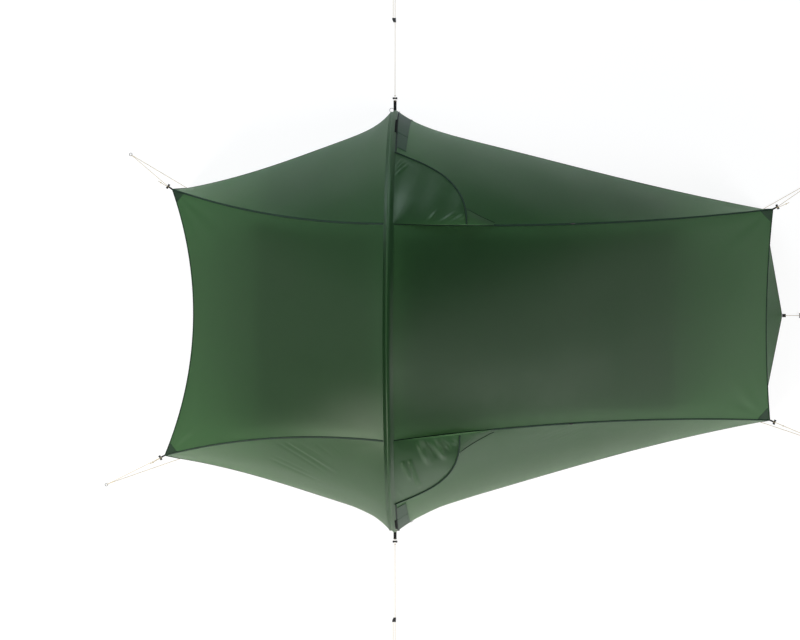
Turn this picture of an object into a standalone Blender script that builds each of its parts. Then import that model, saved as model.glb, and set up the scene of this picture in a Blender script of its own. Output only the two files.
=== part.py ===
"""Two-person tent with one arch pole, four corner struts, two side doors and an inner tent.

Frame: metres, +Z up. The origin is on the ground under the crown of the arch pole.
The head end is at -X, the foot end at +X, the left side at +Y and the right side at -Y.
"""

import math

import bmesh
import bpy
from mathutils import Matrix, Vector

# Arch pole
ARCH_SPAN = 2.45
ARCH_HEIGHT = 1.05
POLE_DIAMETER = 0.009
POLE_SECTIONS = 7
POLE_END_Z = 0.0062
FERRULE_LENGTH = 0.05
FERRULE_WALL = 0.0006

# Fly sheet outline: each corner is the line where the side panel meets the end wall
HEAD_LENGTH = 1.245
HEAD_HALF_WIDTH = 0.795
HEAD_TOP_LENGTH = 1.232
HEAD_TOP_HALF_WIDTH = 0.730
FOOT_LENGTH = 2.160
FOOT_HALF_WIDTH = 0.625
FOOT_TOP_LENGTH = 2.076
FOOT_TOP_HALF_WIDTH = 0.579
CORNER_HEIGHT = 0.325
HEM_HEIGHT = 0.012
SEAM_ANGLE = math.radians(24.4)
FOOT_PEAK = Vector((2.277, 0.026, HEM_HEIGHT))

# How far the corners lie from a square pitch: (forwards on the left side, towards the left)
HEAD_TOP_SHIFT = (0.0205, 0.007)
HEAD_LOW_SHIFT = (0.0205, -0.020)
FOOT_TOP_SHIFT = (0.0085, 0.049)
FOOT_LOW_SHIFT = (0.0085, 0.026)

# How far the edges of the cloth draw in at their middles
HEAD_SEAM_DRAW = Vector((0.0, -0.045, -0.030))
FOOT_SEAM_DRAW = Vector((0.0, -0.036, -0.020))
HEAD_HEM_DRAW = Vector((0.0, -0.0630, 0.035))
FOOT_HEM_DRAW = Vector((0.0, -0.0585, 0.035))
FOOT_HEM_DRIFT = Vector((0.0, 0.0105, 0.0))
HEM_ARCH_Z = 0.060
HEM_ARCH_DRAW = Vector((0.0, -0.039, 0.0))
HEM_ARCH_REACH = 0.12
HEAD_EDGE_DRAW = Vector((0.158, 0.0, 0.075))
FOOT_EDGE_DRAW = Vector((-0.036, 0.0, 0.020))
HEAD_WALL_HEM_DRAW = Vector((0.095, 0.0, 0.030))

# Cloth
CLOTH = 0.0012
SEAM_GAP = 0.0007
CORNER_GAP = 0.0014
CLEARANCE = 0.0003

# Pole sleeve
SLEEVE_BORE = 0.0062
SLEEVE_WALL = 0.0016
SLEEVE_FLANGE = 0.020
SLEEVE_ROOM = 0.0007
SLEEVE_END_Z = 0.024
SLEEVE_STEPS = 48
SLEEVE_SIDES = 6
CHANNEL_SIDES = 8
SLEEVE_LIP_ANGLE = math.radians(8.0)

# Vents over the doors, measured from the arch along the seam and from the seam down the arch
VENT_LENGTH = 0.340
VENT_ANGLE = math.radians(21.6)
VENT_TAIL = 0.500
VENT_CORNER = math.radians(14.0)
HOOD_INSET = 0.03
HOOD_CORNER_LIFT = 0.050
HOOD_MOUTH_LIFT = 0.050
GUSSET_CORNER = math.radians(11.0)
GUSSET_TAIL = 0.012
VENT_BEND = 0.8

# Doors: the line on which each one folds back runs from the vent's tail to the hem
DOOR_FOLD_HEM = 1.150

# How far the hinge lines stand off the cloth: over it at doors and hoods, inside it at inner doors
DOOR_HINGE_RISE = 0.0015
HOOD_HINGE_RISE = 0.0015
INNER_DOOR_HINGE_DEPTH = 0.0012

# Zip sliders on the sleeve's foot-side flange
SLIDER_ANGLE = math.radians(76.0)
SLIDER_SIZE = Vector((0.008, 0.014, 0.004))
FACET_ROOM = 0.0004
PULLER_SIZE = Vector((0.004, 0.028, 0.0012))
PULLER_LAP = 0.004
PULLER_RISE = 0.001

# Corner struts
STRUT_DIAMETER = 0.007
STRUT_ROOM = 0.0005
STRUT_FOOT_DIAMETER = 0.0086
STRUT_FOOT_LENGTH = 0.012
STRUT_TAPER = 0.002

# Arch feet
CUP_DIAMETER = 0.020
CUP_FLOOR = 0.005
CUP_HEIGHT = 0.013
CUP_PLAY = 0.0016
STRAP_WIDTH = 0.018
STRAP_THICKNESS = 0.002
STRAP_LENGTH = 0.060
STRAP_EYE = 0.0036
STRAP_EYE_MARGIN = 0.006
STRAP_ROOT = 0.002

# Guylines
CORD_DIAMETER = 0.0025
KNOT_SWELL = 2.2
KNOT_LENGTH = 0.003
KNOT_TAPER = 0.002
CORD_PLAY = 0.00035
LOCK_LENGTH = 0.028
LOCK_DIAMETER = 0.012
LOCK_WAIST = 0.0088
LOCK_STEPS = 10
LOCK_STAND_OFF = 0.028
TAB_THICKNESS = 0.0015
TAB_WIDTH = 0.009
TAB_ROOM = 0.0004
TAB_REACH = 0.4
RING_DIAMETER = 0.020
RING_WIRE = 0.003
RING_LOW_Z = 0.0018
RING_STEPS = 16
RING_SIDES = 6
CORD_FOOT_OUT = 0.004
CORD_FOOT_Z = 0.0045
GUY_HEIGHT = 0.009
ARCH_GUY_END = 2.020
ARCH_LOCK_Y = 1.305
RUNNER_Y = 1.765
RUNNER_LENGTH = 0.024
RUNNER_WIDTH = 0.022
RUNNER_THICKNESS = 0.007
RUNNER_NOSE = 0.012
RUNNER_SHOULDER = 0.7
GUY_STRAND_GAP = 0.011
HEAD_LEFT_RING = Vector((-1.558, 0.975, 0.0))
HEAD_RIGHT_RING = Vector((-1.702, -0.972, 0.0))
FOOT_LEFT_RING = Vector((2.510, 0.844, 0.0))
FOOT_RIGHT_RING = Vector((2.570, -0.743, 0.0))
FOOT_LOOP_LENGTH = 0.022
FOOT_LOOP_WIDTH = 0.020
FOOT_LOOP_THICKNESS = 0.002
FOOT_LOOP_EYE = 0.008
FOOT_EYE_PLACE = 0.62
FOOT_CORD_END = 0.020
FOOT_LOCK_X = 2.385
FOOT_GUY_END = 2.480
LOOP_STEPS = 8

# Cord routes picked by hand, as (along, up): a corner's tail from its end down to the lock,
# and the foot cord's rise from its eye, whose start is the knot under the webbing
CORNER_TAIL = ((0.050, 0.052), (0.030, 0.048), (0.010, 0.036), (-0.003, 0.020), (-0.004, 0.007))
CORNER_TAIL_START = 0.009
ARCH_CORD_RISE = (0.002, 0.006, 0.012)
FOOT_CORD_RISE = ((0.001, -0.001), (0.004, 0.0032), (0.012, 0.0042), (0.030, 0.001), (0.040, 0.0))
FOOT_CORD_DROP = 0.0042

# Toggles that hold an open door, on the foot-side seams
TOGGLE_X = 0.92
TOGGLE_LENGTH = 0.022
TOGGLE_DIAMETER = 0.006
TOGGLE_LEAN = Vector((0.0, 0.6, 0.8))

# Inner tent
INNER_HEAD_X = -0.800
INNER_FOOT_X = 1.600
INNER_HEAD_HALF_WIDTH = 0.640
INNER_FOOT_HALF_WIDTH = 0.490
TUB_HEIGHT = 0.120
TUB_CLOTH = 0.0015
INNER_ROOM = 0.055
INNER_END_LEAN = 0.060
INNER_HEAD_BAYS = 3
INNER_FOOT_BAYS = 5
INNER_DOOR_START = 0.020
INNER_DOOR_LENGTH = 0.860
INNER_DOOR_SILL = 0.150
INNER_DOOR_TOP = 0.600
INNER_DOOR_GAP = 0.0008
INNER_DOOR_ROUND = 0.75
INNER_DOOR_STEPS = 6
INNER_ROOF_BULGE = 0.25
HANGER_WIDTH = 0.012
HANGER_THICKNESS = 0.002
HANGER_ROOT = 0.004

# Finish of each material: colour, roughness, metallic
FINISHES = {
    "fly": ((0.045, 0.090, 0.050), 0.45, 0.0),
    "trim": ((0.015, 0.035, 0.020), 0.55, 0.0),
    "mesh": ((0.020, 0.030, 0.022), 0.70, 0.0),
    "inner": ((0.520, 0.510, 0.380), 0.60, 0.0),
    "floor": ((0.060, 0.070, 0.065), 0.50, 0.0),
    "aluminium": ((0.720, 0.730, 0.740), 0.30, 1.0),
    "plastic": ((0.012, 0.012, 0.013), 0.40, 0.0),
    "cord": ((0.780, 0.720, 0.520), 0.80, 0.0),
    "zip": ((0.030, 0.030, 0.030), 0.35, 0.8),
}

# What follows from the driving dimensions
ARCH_RADIUS = (ARCH_HEIGHT**2 + (ARCH_SPAN / 2) ** 2) / (2 * ARCH_HEIGHT)
ARCH_CENTRE_Z = ARCH_HEIGHT - ARCH_RADIUS
HALF_CLOTH = CLOTH / 2
PANEL_X = SLEEVE_FLANGE + SLEEVE_ROOM
SIDES = {"left": 1.0, "right": -1.0}


def height_angle(z, radius=None):
    """The angle from the crown at which a circle about the arch's centre has this height."""
    return math.acos((z - ARCH_CENTRE_Z) / (radius or ARCH_RADIUS))


def arch_point(angle, x=0.0, radius=None):
    """A point of the arch, or of a circle beside it, at an angle from the crown."""
    r = radius or ARCH_RADIUS
    return Vector((x, r * math.sin(angle), ARCH_CENTRE_Z + r * math.cos(angle)))


def mirrored(point, side):
    """The same point on the left (1) or the right (-1) side."""
    return Vector((point.x, point.y * side, point.z))


def drawn(start, end, pull):
    """A curve from start to end, as a function of 0..1, that its middle's pull bends."""
    return lambda t: start.lerp(end, t) + pull * (4 * t * (1 - t))


def patch(arch_edge, end_edge, top_edge, low_edge):
    """Taut cloth between four edges, as a function of u (arch to end) and v (top to low).

    The arch's bulge dies away towards the end with the square of the distance.
    """
    a, b = arch_edge(0.0), arch_edge(1.0)
    d, c = end_edge(0.0), end_edge(1.0)

    def place(u, v):
        flat = a.lerp(b, v).lerp(d.lerp(c, v), u)
        arch_bulge = (arch_edge(v) - a.lerp(b, v)) * (1 - u) ** 2
        end_bulge = (end_edge(v) - d.lerp(c, v)) * u**2
        top_bulge = (top_edge(u) - a.lerp(d, u)) * (1 - v)
        low_bulge = (low_edge(u) - b.lerp(c, u)) * v
        return flat + arch_bulge + end_bulge + top_bulge + low_bulge

    return place


def normal_of(place, u, v):
    """The outward unit normal of a panel at a place on it."""
    step = 0.002
    across = place(min(u + step, 1.0), v) - place(max(u - step, 0.0), v)
    down = place(u, min(v + step, 1.0)) - place(u, max(v - step, 0.0))
    normal = across.cross(down).normalized()
    if normal.z < 0:
        normal = -normal
    return normal


def corner(end, side, top):
    """A corner of the fly: the end is -1 at the head and 1 at the foot."""
    if end < 0:
        length = HEAD_TOP_LENGTH if top else HEAD_LENGTH
        width = HEAD_TOP_HALF_WIDTH if top else HEAD_HALF_WIDTH
        turn, drift = HEAD_TOP_SHIFT if top else HEAD_LOW_SHIFT
    else:
        length = FOOT_TOP_LENGTH if top else FOOT_LENGTH
        width = FOOT_TOP_HALF_WIDTH if top else FOOT_HALF_WIDTH
        turn, drift = FOOT_TOP_SHIFT if top else FOOT_LOW_SHIFT
    height = CORNER_HEIGHT if top else HEM_HEIGHT
    return Vector((end * length + side * turn, side * width + drift, height))


def seam(end, side):
    """The seam between roof and side panel, from the sleeve to the corner's top."""
    start = mirrored(arch_point(SEAM_ANGLE, end * PANEL_X), side)
    draw = HEAD_SEAM_DRAW if end < 0 else FOOT_SEAM_DRAW
    return drawn(start, corner(end, side, True), mirrored(draw, side))


def hem(end, side):
    """The side panel's hem, from the arch's foot to the corner's foot."""
    start = mirrored(arch_point(height_angle(HEM_ARCH_Z), end * PANEL_X), side)
    draw = mirrored(HEAD_HEM_DRAW if end < 0 else FOOT_HEM_DRAW, side)
    if end > 0:
        draw += FOOT_HEM_DRIFT
    slow = drawn(start, corner(end, side, False), draw)
    near = mirrored(HEM_ARCH_DRAW, side)

    def place(t):
        share = t / HEM_ARCH_REACH
        return slow(t) + near * (share * math.exp(1 - share) * (1 - t))

    return place


def side_panel(end, side):
    """The whole side panel from the arch to the corner strut."""
    low = height_angle(HEM_ARCH_Z)
    x = end * PANEL_X

    def arch_edge(v):
        return mirrored(arch_point(SEAM_ANGLE + (low - SEAM_ANGLE) * v, x), side)

    end_edge = drawn(corner(end, side, True), corner(end, side, False), Vector())
    return patch(arch_edge, end_edge, seam(end, side), hem(end, side))


def roof_edge(end):
    """The roof's free edge over an end wall, from the left corner to the right one."""
    draw = HEAD_EDGE_DRAW if end < 0 else FOOT_EDGE_DRAW
    return drawn(corner(end, 1.0, True), corner(end, -1.0, True), draw)


def roof_panel(end):
    """The roof between the two seams, from the arch to the end wall."""

    def arch_edge(v):
        return arch_point(SEAM_ANGLE * (1 - 2 * v), end * PANEL_X)

    return patch(arch_edge, roof_edge(end), seam(end, 1.0), seam(end, -1.0))


def end_wall(end):
    """The wall under the roof's edge: v runs from the edge down to the hem."""
    left, right = corner(end, 1.0, False), corner(end, -1.0, False)

    def low_edge(t):
        if end < 0:
            return drawn(left, right, HEAD_WALL_HEM_DRAW)(t)
        if t < 0.5:
            return left.lerp(FOOT_PEAK, 2 * t)
        return FOOT_PEAK.lerp(right, 2 * t - 1)

    top_edge = roof_edge(end)
    return lambda u, v: top_edge(u).lerp(low_edge(u), v)


def vent_edge(t):
    """The vent's lower edge in the panel's (u, v), from the arch (0) to its tail (1)."""
    a, b = vent_size()
    if t <= VENT_BEND:
        angle = math.pi / 2 - (math.pi / 2 - VENT_CORNER) * t / VENT_BEND
        return (a * math.cos(angle), b * math.sin(angle))
    share = (t - VENT_BEND) / (1 - VENT_BEND)
    u, v = a * math.cos(VENT_CORNER), b * math.sin(VENT_CORNER)
    return (u + (vent_tail() - u) * share, v * (1 - share))


def vent_size():
    """The vent's half axes in the side panel's (u, v)."""
    along = VENT_LENGTH / (FOOT_TOP_LENGTH - PANEL_X)
    down = VENT_ANGLE / (height_angle(HEM_ARCH_Z) - SEAM_ANGLE)
    return along, down


def vent_tail():
    """Where the vent's tail and the door's fold line meet the seam, as a share of its length."""
    return VENT_TAIL / (FOOT_TOP_LENGTH - PANEL_X)


def fold_point(t):
    """The door's fold line in the panel's (u, v), from the seam (0) to the hem (1)."""
    top = vent_tail()
    low = (DOOR_FOLD_HEM - PANEL_X) / (FOOT_LENGTH - PANEL_X)
    return (top + (low - top) * t, t)


def filled(left, right, top, low):
    """A region of a panel in (u, v) between four edges, as a function of its own (a, b)."""

    def place(a, b):
        result = []
        for i in range(2):
            sides = (1 - a) * left(b)[i] + a * right(b)[i]
            ends = (1 - b) * top(a)[i] + b * low(a)[i]
            corners = (1 - b) * ((1 - a) * top(0)[i] + a * top(1)[i])
            corners += b * ((1 - a) * low(0)[i] + a * low(1)[i])
            result.append(sides + ends - corners)
        return result

    return place


def door_region():
    """The door in (u, v): from the arch to the fold line, and from the vent to the hem."""
    low = fold_point(1.0)[0]
    start = vent_edge(0.0)[1]
    return filled(
        lambda b: (0.0, start + (1 - start) * b),
        fold_point,
        vent_edge,
        lambda a: (low * a, 1.0),
    )


def rear_region():
    """The fixed part of the foot-side panel in (u, v), behind the fold line."""
    top, low = fold_point(0.0)[0], fold_point(1.0)[0]
    return filled(
        fold_point,
        lambda b: (1.0, b),
        lambda a: (top + (1 - top) * a, 0.0),
        lambda a: (low + (1 - low) * a, 1.0),
    )


def quarter_region(edge, top_length, side_depth):
    """A quarter disc at the arch's seam corner in (u, v), with its rim split in the middle."""
    return filled(
        lambda b: (0.0, side_depth * b),
        lambda b: edge(1 - b / 2),
        lambda a: (top_length * a, 0.0),
        lambda a: edge(a / 2),
    )


def hood_lift(u, v):
    """How high the vent's hood stands over the side panel at a place of it."""
    a, b = vent_size()
    reach = math.hypot(u / a, v / b)
    angle = math.atan2(v / b, u / a)
    rise = HOOD_CORNER_LIFT * math.cos(angle) ** 2 + HOOD_MOUTH_LIFT * math.sin(2 * angle)
    return CLOTH + CLEARANCE + max(rise, 0.0) * reach


def material(name):
    """The Principled material of this name, made once."""
    if name in bpy.data.materials:
        return bpy.data.materials[name]
    colour, roughness, metallic = FINISHES[name]
    made = bpy.data.materials.new(name)
    made.use_nodes = True
    shader = made.node_tree.nodes["Principled BSDF"]
    shader.inputs["Base Color"].default_value = (*colour, 1.0)
    shader.inputs["Roughness"].default_value = roughness
    shader.inputs["Metallic"].default_value = metallic
    made.diffuse_color = (*colour, 1.0)
    return made


def collection(name):
    """The scene's collection of this name, made once."""
    found = bpy.data.collections.get(name)
    if not found:
        found = bpy.data.collections.new(name)
        bpy.context.scene.collection.children.link(found)
    return found


def add(name, data, finish):
    """Put a mesh or a curve into the tent as an object."""
    made = bpy.data.objects.new(name, data)
    data.materials.append(material(finish))
    collection("two_person_tent").objects.link(made)
    return made


def add_mesh(name, bm, finish):
    """Turn a bmesh into an object of the tent, shaded smooth but for its sharp edges."""
    mesh = bpy.data.meshes.new(name)
    bmesh.ops.recalc_face_normals(bm, faces=bm.faces)
    bm.to_mesh(mesh)
    bm.free()
    mesh.shade_smooth()
    mesh.set_sharp_from_angle(angle=math.radians(40))
    return add(name, mesh, finish)


def add_cutter(name, bm):
    """Turn a bmesh into a hidden cutter."""
    mesh = bpy.data.meshes.new(name)
    bmesh.ops.recalc_face_normals(bm, faces=bm.faces)
    bm.to_mesh(mesh)
    bm.free()
    made = bpy.data.objects.new(name, mesh)
    collection("cutters").objects.link(made)
    made.hide_render = True
    made.display_type = "WIRE"
    return made


def boolean(target, cutter, operation):
    """Cut a target with a cutter, or join or intersect them, with the exact solver."""
    step = target.modifiers.new(operation.title(), "BOOLEAN")
    step.operation = operation
    step.solver = "EXACT"
    step.object = cutter


def thicken(target, thickness, offset=0.0):
    """Give an open surface its thickness."""
    step = target.modifiers.new("Thickness", "SOLIDIFY")
    step.thickness = thickness
    step.offset = offset
    step.use_even_offset = True


def cloth(name, columns, rows, place, finish="fly", insets=(SEAM_GAP,) * 4):
    """A cloth panel: a grid put in place by a function of (a, b), short of its edges."""
    bm = bmesh.new()
    bmesh.ops.create_grid(bm, x_segments=columns, y_segments=rows, size=0.5)
    width = (place(0.5, 0.5) - place(0.0, 0.5)).length * 2
    depth = (place(0.5, 0.5) - place(0.5, 0.0)).length * 2
    left, right, top, low = insets
    for vert in bm.verts:
        a = (vert.co.x + 0.5) * (1 - (left + right) / width) + left / width
        b = (vert.co.y + 0.5) * (1 - (top + low) / depth) + top / depth
        vert.co = place(a, b)
    made = add_mesh(name, bm, finish)
    thicken(made, CLOTH)
    return made


def turned(name, profile, finish, start, direction, steps=16):
    """A body turned from (radius, height) points, stood on start along a direction."""
    bm = bmesh.new()
    verts = [bm.verts.new((radius, 0.0, height)) for radius, height in profile]
    for low, high in zip(verts, verts[1:]):
        bm.edges.new((low, high))
    bmesh.ops.spin(
        bm,
        geom=bm.verts[:] + bm.edges[:],
        axis=(0, 0, 1),
        cent=(0, 0, 0),
        angle=2 * math.pi,
        steps=steps,
        use_merge=True,
    )
    bmesh.ops.remove_doubles(bm, verts=bm.verts, dist=1e-6)
    turn = Vector((0, 0, 1)).rotation_difference(direction.normalized()).to_matrix().to_4x4()
    bmesh.ops.transform(bm, matrix=Matrix.Translation(start) @ turn, verts=bm.verts)
    if finish is None:
        return add_cutter(name, bm)
    return add_mesh(name, bm, finish)


def tube(name, points, radius, finish, radii=None, resolution=2):
    """A round tube along points, with a swelling where radii says so."""
    curve = bpy.data.curves.new(name, "CURVE")
    curve.dimensions = "3D"
    curve.bevel_depth = radius
    curve.bevel_resolution = resolution
    curve.use_fill_caps = True
    spline = curve.splines.new("POLY")
    spline.points.add(len(points) - 1)
    for index, (target, point) in enumerate(zip(spline.points, points)):
        target.co = (*point, 1.0)
        target.radius = radii[index] if radii else 1.0
    return add(name, curve, finish)


def as_mesh(curve_object):
    """Replace a curve object with a mesh object that Booleans can use."""
    name = curve_object.name
    finish = curve_object.data.materials[0].name
    depsgraph = bpy.context.evaluated_depsgraph_get()
    mesh = bpy.data.meshes.new_from_object(curve_object.evaluated_get(depsgraph))
    bpy.data.objects.remove(curve_object)
    bm = bmesh.new()
    bm.from_mesh(mesh)
    bmesh.ops.remove_doubles(bm, verts=bm.verts, dist=1e-6)
    bpy.data.meshes.remove(mesh)
    return add_mesh(name, bm, finish)


def box(name, size, centre, turn=None, finish=None):
    """A box of a size at a centre, turned by a matrix: a cutter, or a piece with a finish."""
    bm = bmesh.new()
    bmesh.ops.create_cube(bm, size=1.0)
    place = Matrix.Translation(centre)
    if turn is not None:
        place = place @ turn
    bmesh.ops.transform(bm, matrix=place @ Matrix.Diagonal((*size, 1.0)), verts=bm.verts)
    if finish is None:
        return add_cutter(name, bm)
    return add_mesh(name, bm, finish)


def along(direction, up=Vector((0, 0, 1))):
    """A turn whose local X lies along a direction and whose Z leans towards up."""
    x = direction.normalized()
    y = up.cross(x).normalized()
    return Matrix((x, y, x.cross(y))).transposed().to_4x4()


def hang(piece, place, axis):
    """Parent a moving piece to an empty that has its joint's place, with Z along its axis."""
    pivot = bpy.data.objects.new(piece.name + "_joint", None)
    pivot.empty_display_size = 0.05
    collection("two_person_tent").objects.link(pivot)
    placed = Matrix.Translation(place) @ axis.to_track_quat("Z", "Y").to_matrix().to_4x4()
    pivot.matrix_world = placed
    piece.parent = pivot
    piece.matrix_parent_inverse = placed.inverted()


def make_arch_pole():
    """The arch pole: straight tubes sprung into one circle, each with a ferrule at one end."""
    end = height_angle(POLE_END_Z)
    gap = CLEARANCE / ARCH_RADIUS
    step = 2 * end / POLE_SECTIONS
    ferrule = FERRULE_LENGTH / ARCH_RADIUS
    bulge = 1 + 2 * FERRULE_WALL / POLE_DIAMETER
    for number in range(POLE_SECTIONS):
        start = -end + number * step + (gap / 2 if number else 0.0)
        stop = -end + (number + 1) * step - (gap / 2 if number < POLE_SECTIONS - 1 else 0.0)
        last = number == POLE_SECTIONS - 1
        angles = [start + (stop - start) * i / 8 for i in range(9)]
        if not last:
            angles[8:] = [stop - ferrule, stop - ferrule + gap, stop]
        radii = [1.0] * len(angles)
        if not last:
            radii[-2:] = [bulge, bulge]
        points = [arch_point(angle) for angle in angles]
        name = f"arch_pole_section_{number + 1}"
        tube(name, points, POLE_DIAMETER / 2, "aluminium", radii)


def make_sleeve():
    """The pole sleeve: a band with a round channel, turned about the arch's centre line."""
    end = height_angle(SLEEVE_END_Z)
    crown = SLEEVE_BORE + SLEEVE_WALL
    sweep = math.pi - 2 * SLEEVE_LIP_ANGLE
    angles = [SLEEVE_LIP_ANGLE + sweep * i / SLEEVE_SIDES for i in range(SLEEVE_SIDES + 1)]
    half = [(crown * math.cos(a), crown * math.sin(a)) for a in angles]
    profile = [(SLEEVE_FLANGE, HALF_CLOTH), (SLEEVE_FLANGE, -HALF_CLOTH)]
    profile += [(x, -y) for x, y in half]
    profile += [(-SLEEVE_FLANGE, -HALF_CLOTH), (-SLEEVE_FLANGE, HALF_CLOTH)]
    profile += [(x, y) for x, y in reversed(half)]
    sleeve = revolve("pole_sleeve", profile, end, "trim")
    turns = [2 * math.pi * i / CHANNEL_SIDES for i in range(CHANNEL_SIDES)]
    channel = [(SLEEVE_BORE * math.cos(a), SLEEVE_BORE * math.sin(a)) for a in turns]
    cutter = revolve("sleeve_channel", channel, end + SLEEVE_BORE / ARCH_RADIUS, None)
    boolean(sleeve, cutter, "DIFFERENCE")


def revolve(name, profile, end, finish):
    """A band swept over the arch from one foot to the other: the profile is (x, radial)."""
    bm = bmesh.new()
    rings = []
    for step in range(SLEEVE_STEPS + 1):
        angle = -end + 2 * end * step / SLEEVE_STEPS
        rings.append([bm.verts.new(arch_point(angle, x, ARCH_RADIUS + r)) for x, r in profile])
    count = len(profile)
    for ring, following in zip(rings, rings[1:]):
        for i in range(count):
            j = (i + 1) % count
            bm.faces.new((ring[i], ring[j], following[j], following[i]))
    bm.faces.new(rings[0])
    bm.faces.new(list(reversed(rings[-1])))
    if finish is None:
        return add_cutter(name, bm)
    return add_mesh(name, bm, finish)


def strut_point(end, side, top):
    """Where a strut's axis runs at a corner's top or foot: in the nook of the two panels."""
    at = corner(end, side, top)
    beside = (seam if top else hem)(end, side)(0.98) - at
    wall = end_wall(end)
    v = 0.0 if top else 1.0
    if side > 0:
        across = wall(0.02, v) - wall(0.0, v)
    else:
        across = wall(0.98, v) - wall(1.0, v)
    beside.z = across.z = 0.0
    beside.normalize()
    across.normalize()
    reach = STRUT_FOOT_DIAMETER / 2 + HALF_CLOTH + STRUT_ROOM
    return at + (beside + across) * (reach / beside.cross(across).length)


def make_struts():
    """Four corner struts, each a short pole with a rounded foot, inside its corner."""
    for end, end_name in ((-1.0, "head"), (1.0, "foot")):
        for side_name, side in SIDES.items():
            low, high = (strut_point(end, side, top) for top in (False, True))
            direction = (high - low).normalized()
            ball = STRUT_FOOT_DIAMETER / 2
            foot = low - direction * ((low.z - ball) / direction.z)
            length = (high - foot).length - STRUT_DIAMETER
            r = STRUT_DIAMETER / 2
            turns = [math.pi / 2 * i / 3 for i in range(4)]
            profile = [(ball * math.sin(turn), -ball * math.cos(turn)) for turn in turns]
            profile += [(ball, STRUT_FOOT_LENGTH), (r, STRUT_FOOT_LENGTH + STRUT_TAPER)]
            profile += [(r, length - STRUT_TAPER), (0.0, length)]
            turned(f"corner_strut_{end_name}_{side_name}", profile, "aluminium", foot, direction)


def door_hinge(side):
    """A door's hinge: a place on it and its direction, just over the curved fold line."""
    panel = side_panel(1.0, side)
    shares = [i / 20 for i in range(21)]
    high, low = panel(*fold_point(0.0)), panel(*fold_point(1.0))
    line = (low - high).normalized()
    out = sum((normal_of(panel, *fold_point(t)) for t in shares), Vector())
    out = (out - line * out.dot(line)).normalized()
    rise = max((panel(*fold_point(t)) - high).dot(out) for t in shares)
    return high + out * (rise + HALF_CLOTH + DOOR_HINGE_RISE), line * side


def hood_hinge(side):
    """A vent hood's hinge: a place on it and its direction, along the arch's chord."""
    panel = side_panel(1.0, side)
    depth = vent_size()[1] * (1 - HOOD_INSET)
    high, low = panel(0.0, 0.0), panel(0.0, depth)
    out = normal_of(panel, 0.0, depth / 2)
    return high + out * HOOD_HINGE_RISE, (low - high).normalized() * side


def inner_door_hinge(side):
    """An inner door's hinge: a place on it and its direction, along the door's sill."""
    ends = []
    for x in (INNER_DOOR_START, INNER_DOOR_START + INNER_DOOR_LENGTH):
        section = inner_section(x, 0.0)
        if side < 0:
            section.reverse()
        foot, high = section[0], section[2]
        share = (INNER_DOOR_SILL + INNER_DOOR_GAP - foot.z) / (high.z - foot.z)
        place = foot.lerp(high, share)
        place.y -= side * (HALF_CLOTH + INNER_DOOR_HINGE_DEPTH)
        ends.append(place)
    return ends[0], (ends[1] - ends[0]).normalized() * side


def make_fly():
    """The fly sheet: two roofs, four side panels, two end walls, two doors."""
    arch_free = (0.0, SEAM_GAP, SEAM_GAP, SEAM_GAP)
    cloth("roof_head", 10, 10, roof_panel(-1.0), insets=arch_free)
    cloth("roof_foot", 12, 10, roof_panel(1.0), insets=arch_free)
    nook = (CORNER_GAP, CORNER_GAP, CORNER_GAP, 0.0)
    cloth("end_wall_head", 10, 3, end_wall(-1.0), insets=nook)
    cloth("end_wall_foot", 10, 3, end_wall(1.0), insets=nook)
    for side_name, side in SIDES.items():
        cloth(f"side_panel_head_{side_name}", 9, 8, side_panel(-1.0, side),
              insets=(0.0, SEAM_GAP, SEAM_GAP, 0.0))
        panel = side_panel(1.0, side)
        rear, door = rear_region(), door_region()
        cloth(f"side_panel_foot_{side_name}", 9, 8, lambda a, b: panel(*rear(a, b)),
              insets=(SEAM_GAP, SEAM_GAP, SEAM_GAP, 0.0))
        leaf = cloth(f"door_{side_name}", 10, 8, lambda a, b: panel(*door(a, b)),
                     insets=(CLEARANCE, SEAM_GAP, SEAM_GAP, 0.0))
        hang(leaf, *door_hinge(side))


def make_vents():
    """Over each door a mesh vent, the hood over it and the gusset at the hood's corner."""
    a, b = vent_size()
    shrink = 1 - HOOD_INSET

    def mouth(t):
        angle = math.pi / 2 * (1 - t)
        return (a * shrink * math.cos(angle), b * shrink * math.sin(angle))

    vent = quarter_region(vent_edge, vent_tail(), vent_edge(0.0)[1])
    hood = quarter_region(mouth, a * shrink, b * shrink)
    for side_name, side in SIDES.items():
        panel = side_panel(1.0, side)

        def lifted(u, v, lift):
            return panel(u, v) + normal_of(panel, u, v) * lift

        def hood_place(p, q):
            u, v = hood(p, q)
            return lifted(u, v, hood_lift(u, v))

        def gusset_place(p, q):
            angle = GUSSET_CORNER * q
            reach = shrink + SEAM_GAP / VENT_LENGTH
            u, v = a * reach * math.cos(angle), b * reach * math.sin(angle)
            rim = lifted(u, v, hood_lift(u, v))
            back = 1 - GUSSET_TAIL * (2 - q) / VENT_TAIL
            low = GUSSET_TAIL * q / (ARCH_RADIUS * VENT_ANGLE) * b
            tail = lifted(vent_tail() * back, low, CLOTH + CLEARANCE)
            return rim.lerp(tail, p)

        cloth(f"vent_mesh_{side_name}", 5, 5, lambda p, q: panel(*vent(p, q)), "mesh",
              (CLEARANCE, SEAM_GAP, SEAM_GAP, SEAM_GAP))
        cloth(f"vent_hood_{side_name}", 7, 7, hood_place, "fly",
              (CLEARANCE, 0.0, 2 * SEAM_GAP, 0.0))
        cloth(f"vent_gusset_{side_name}", 4, 3, gusset_place, "fly",
              (0.0, 0.0, 2 * SEAM_GAP, 0.0))
        hang(bpy.data.objects[f"vent_hood_{side_name}"], *hood_hinge(side))


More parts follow.
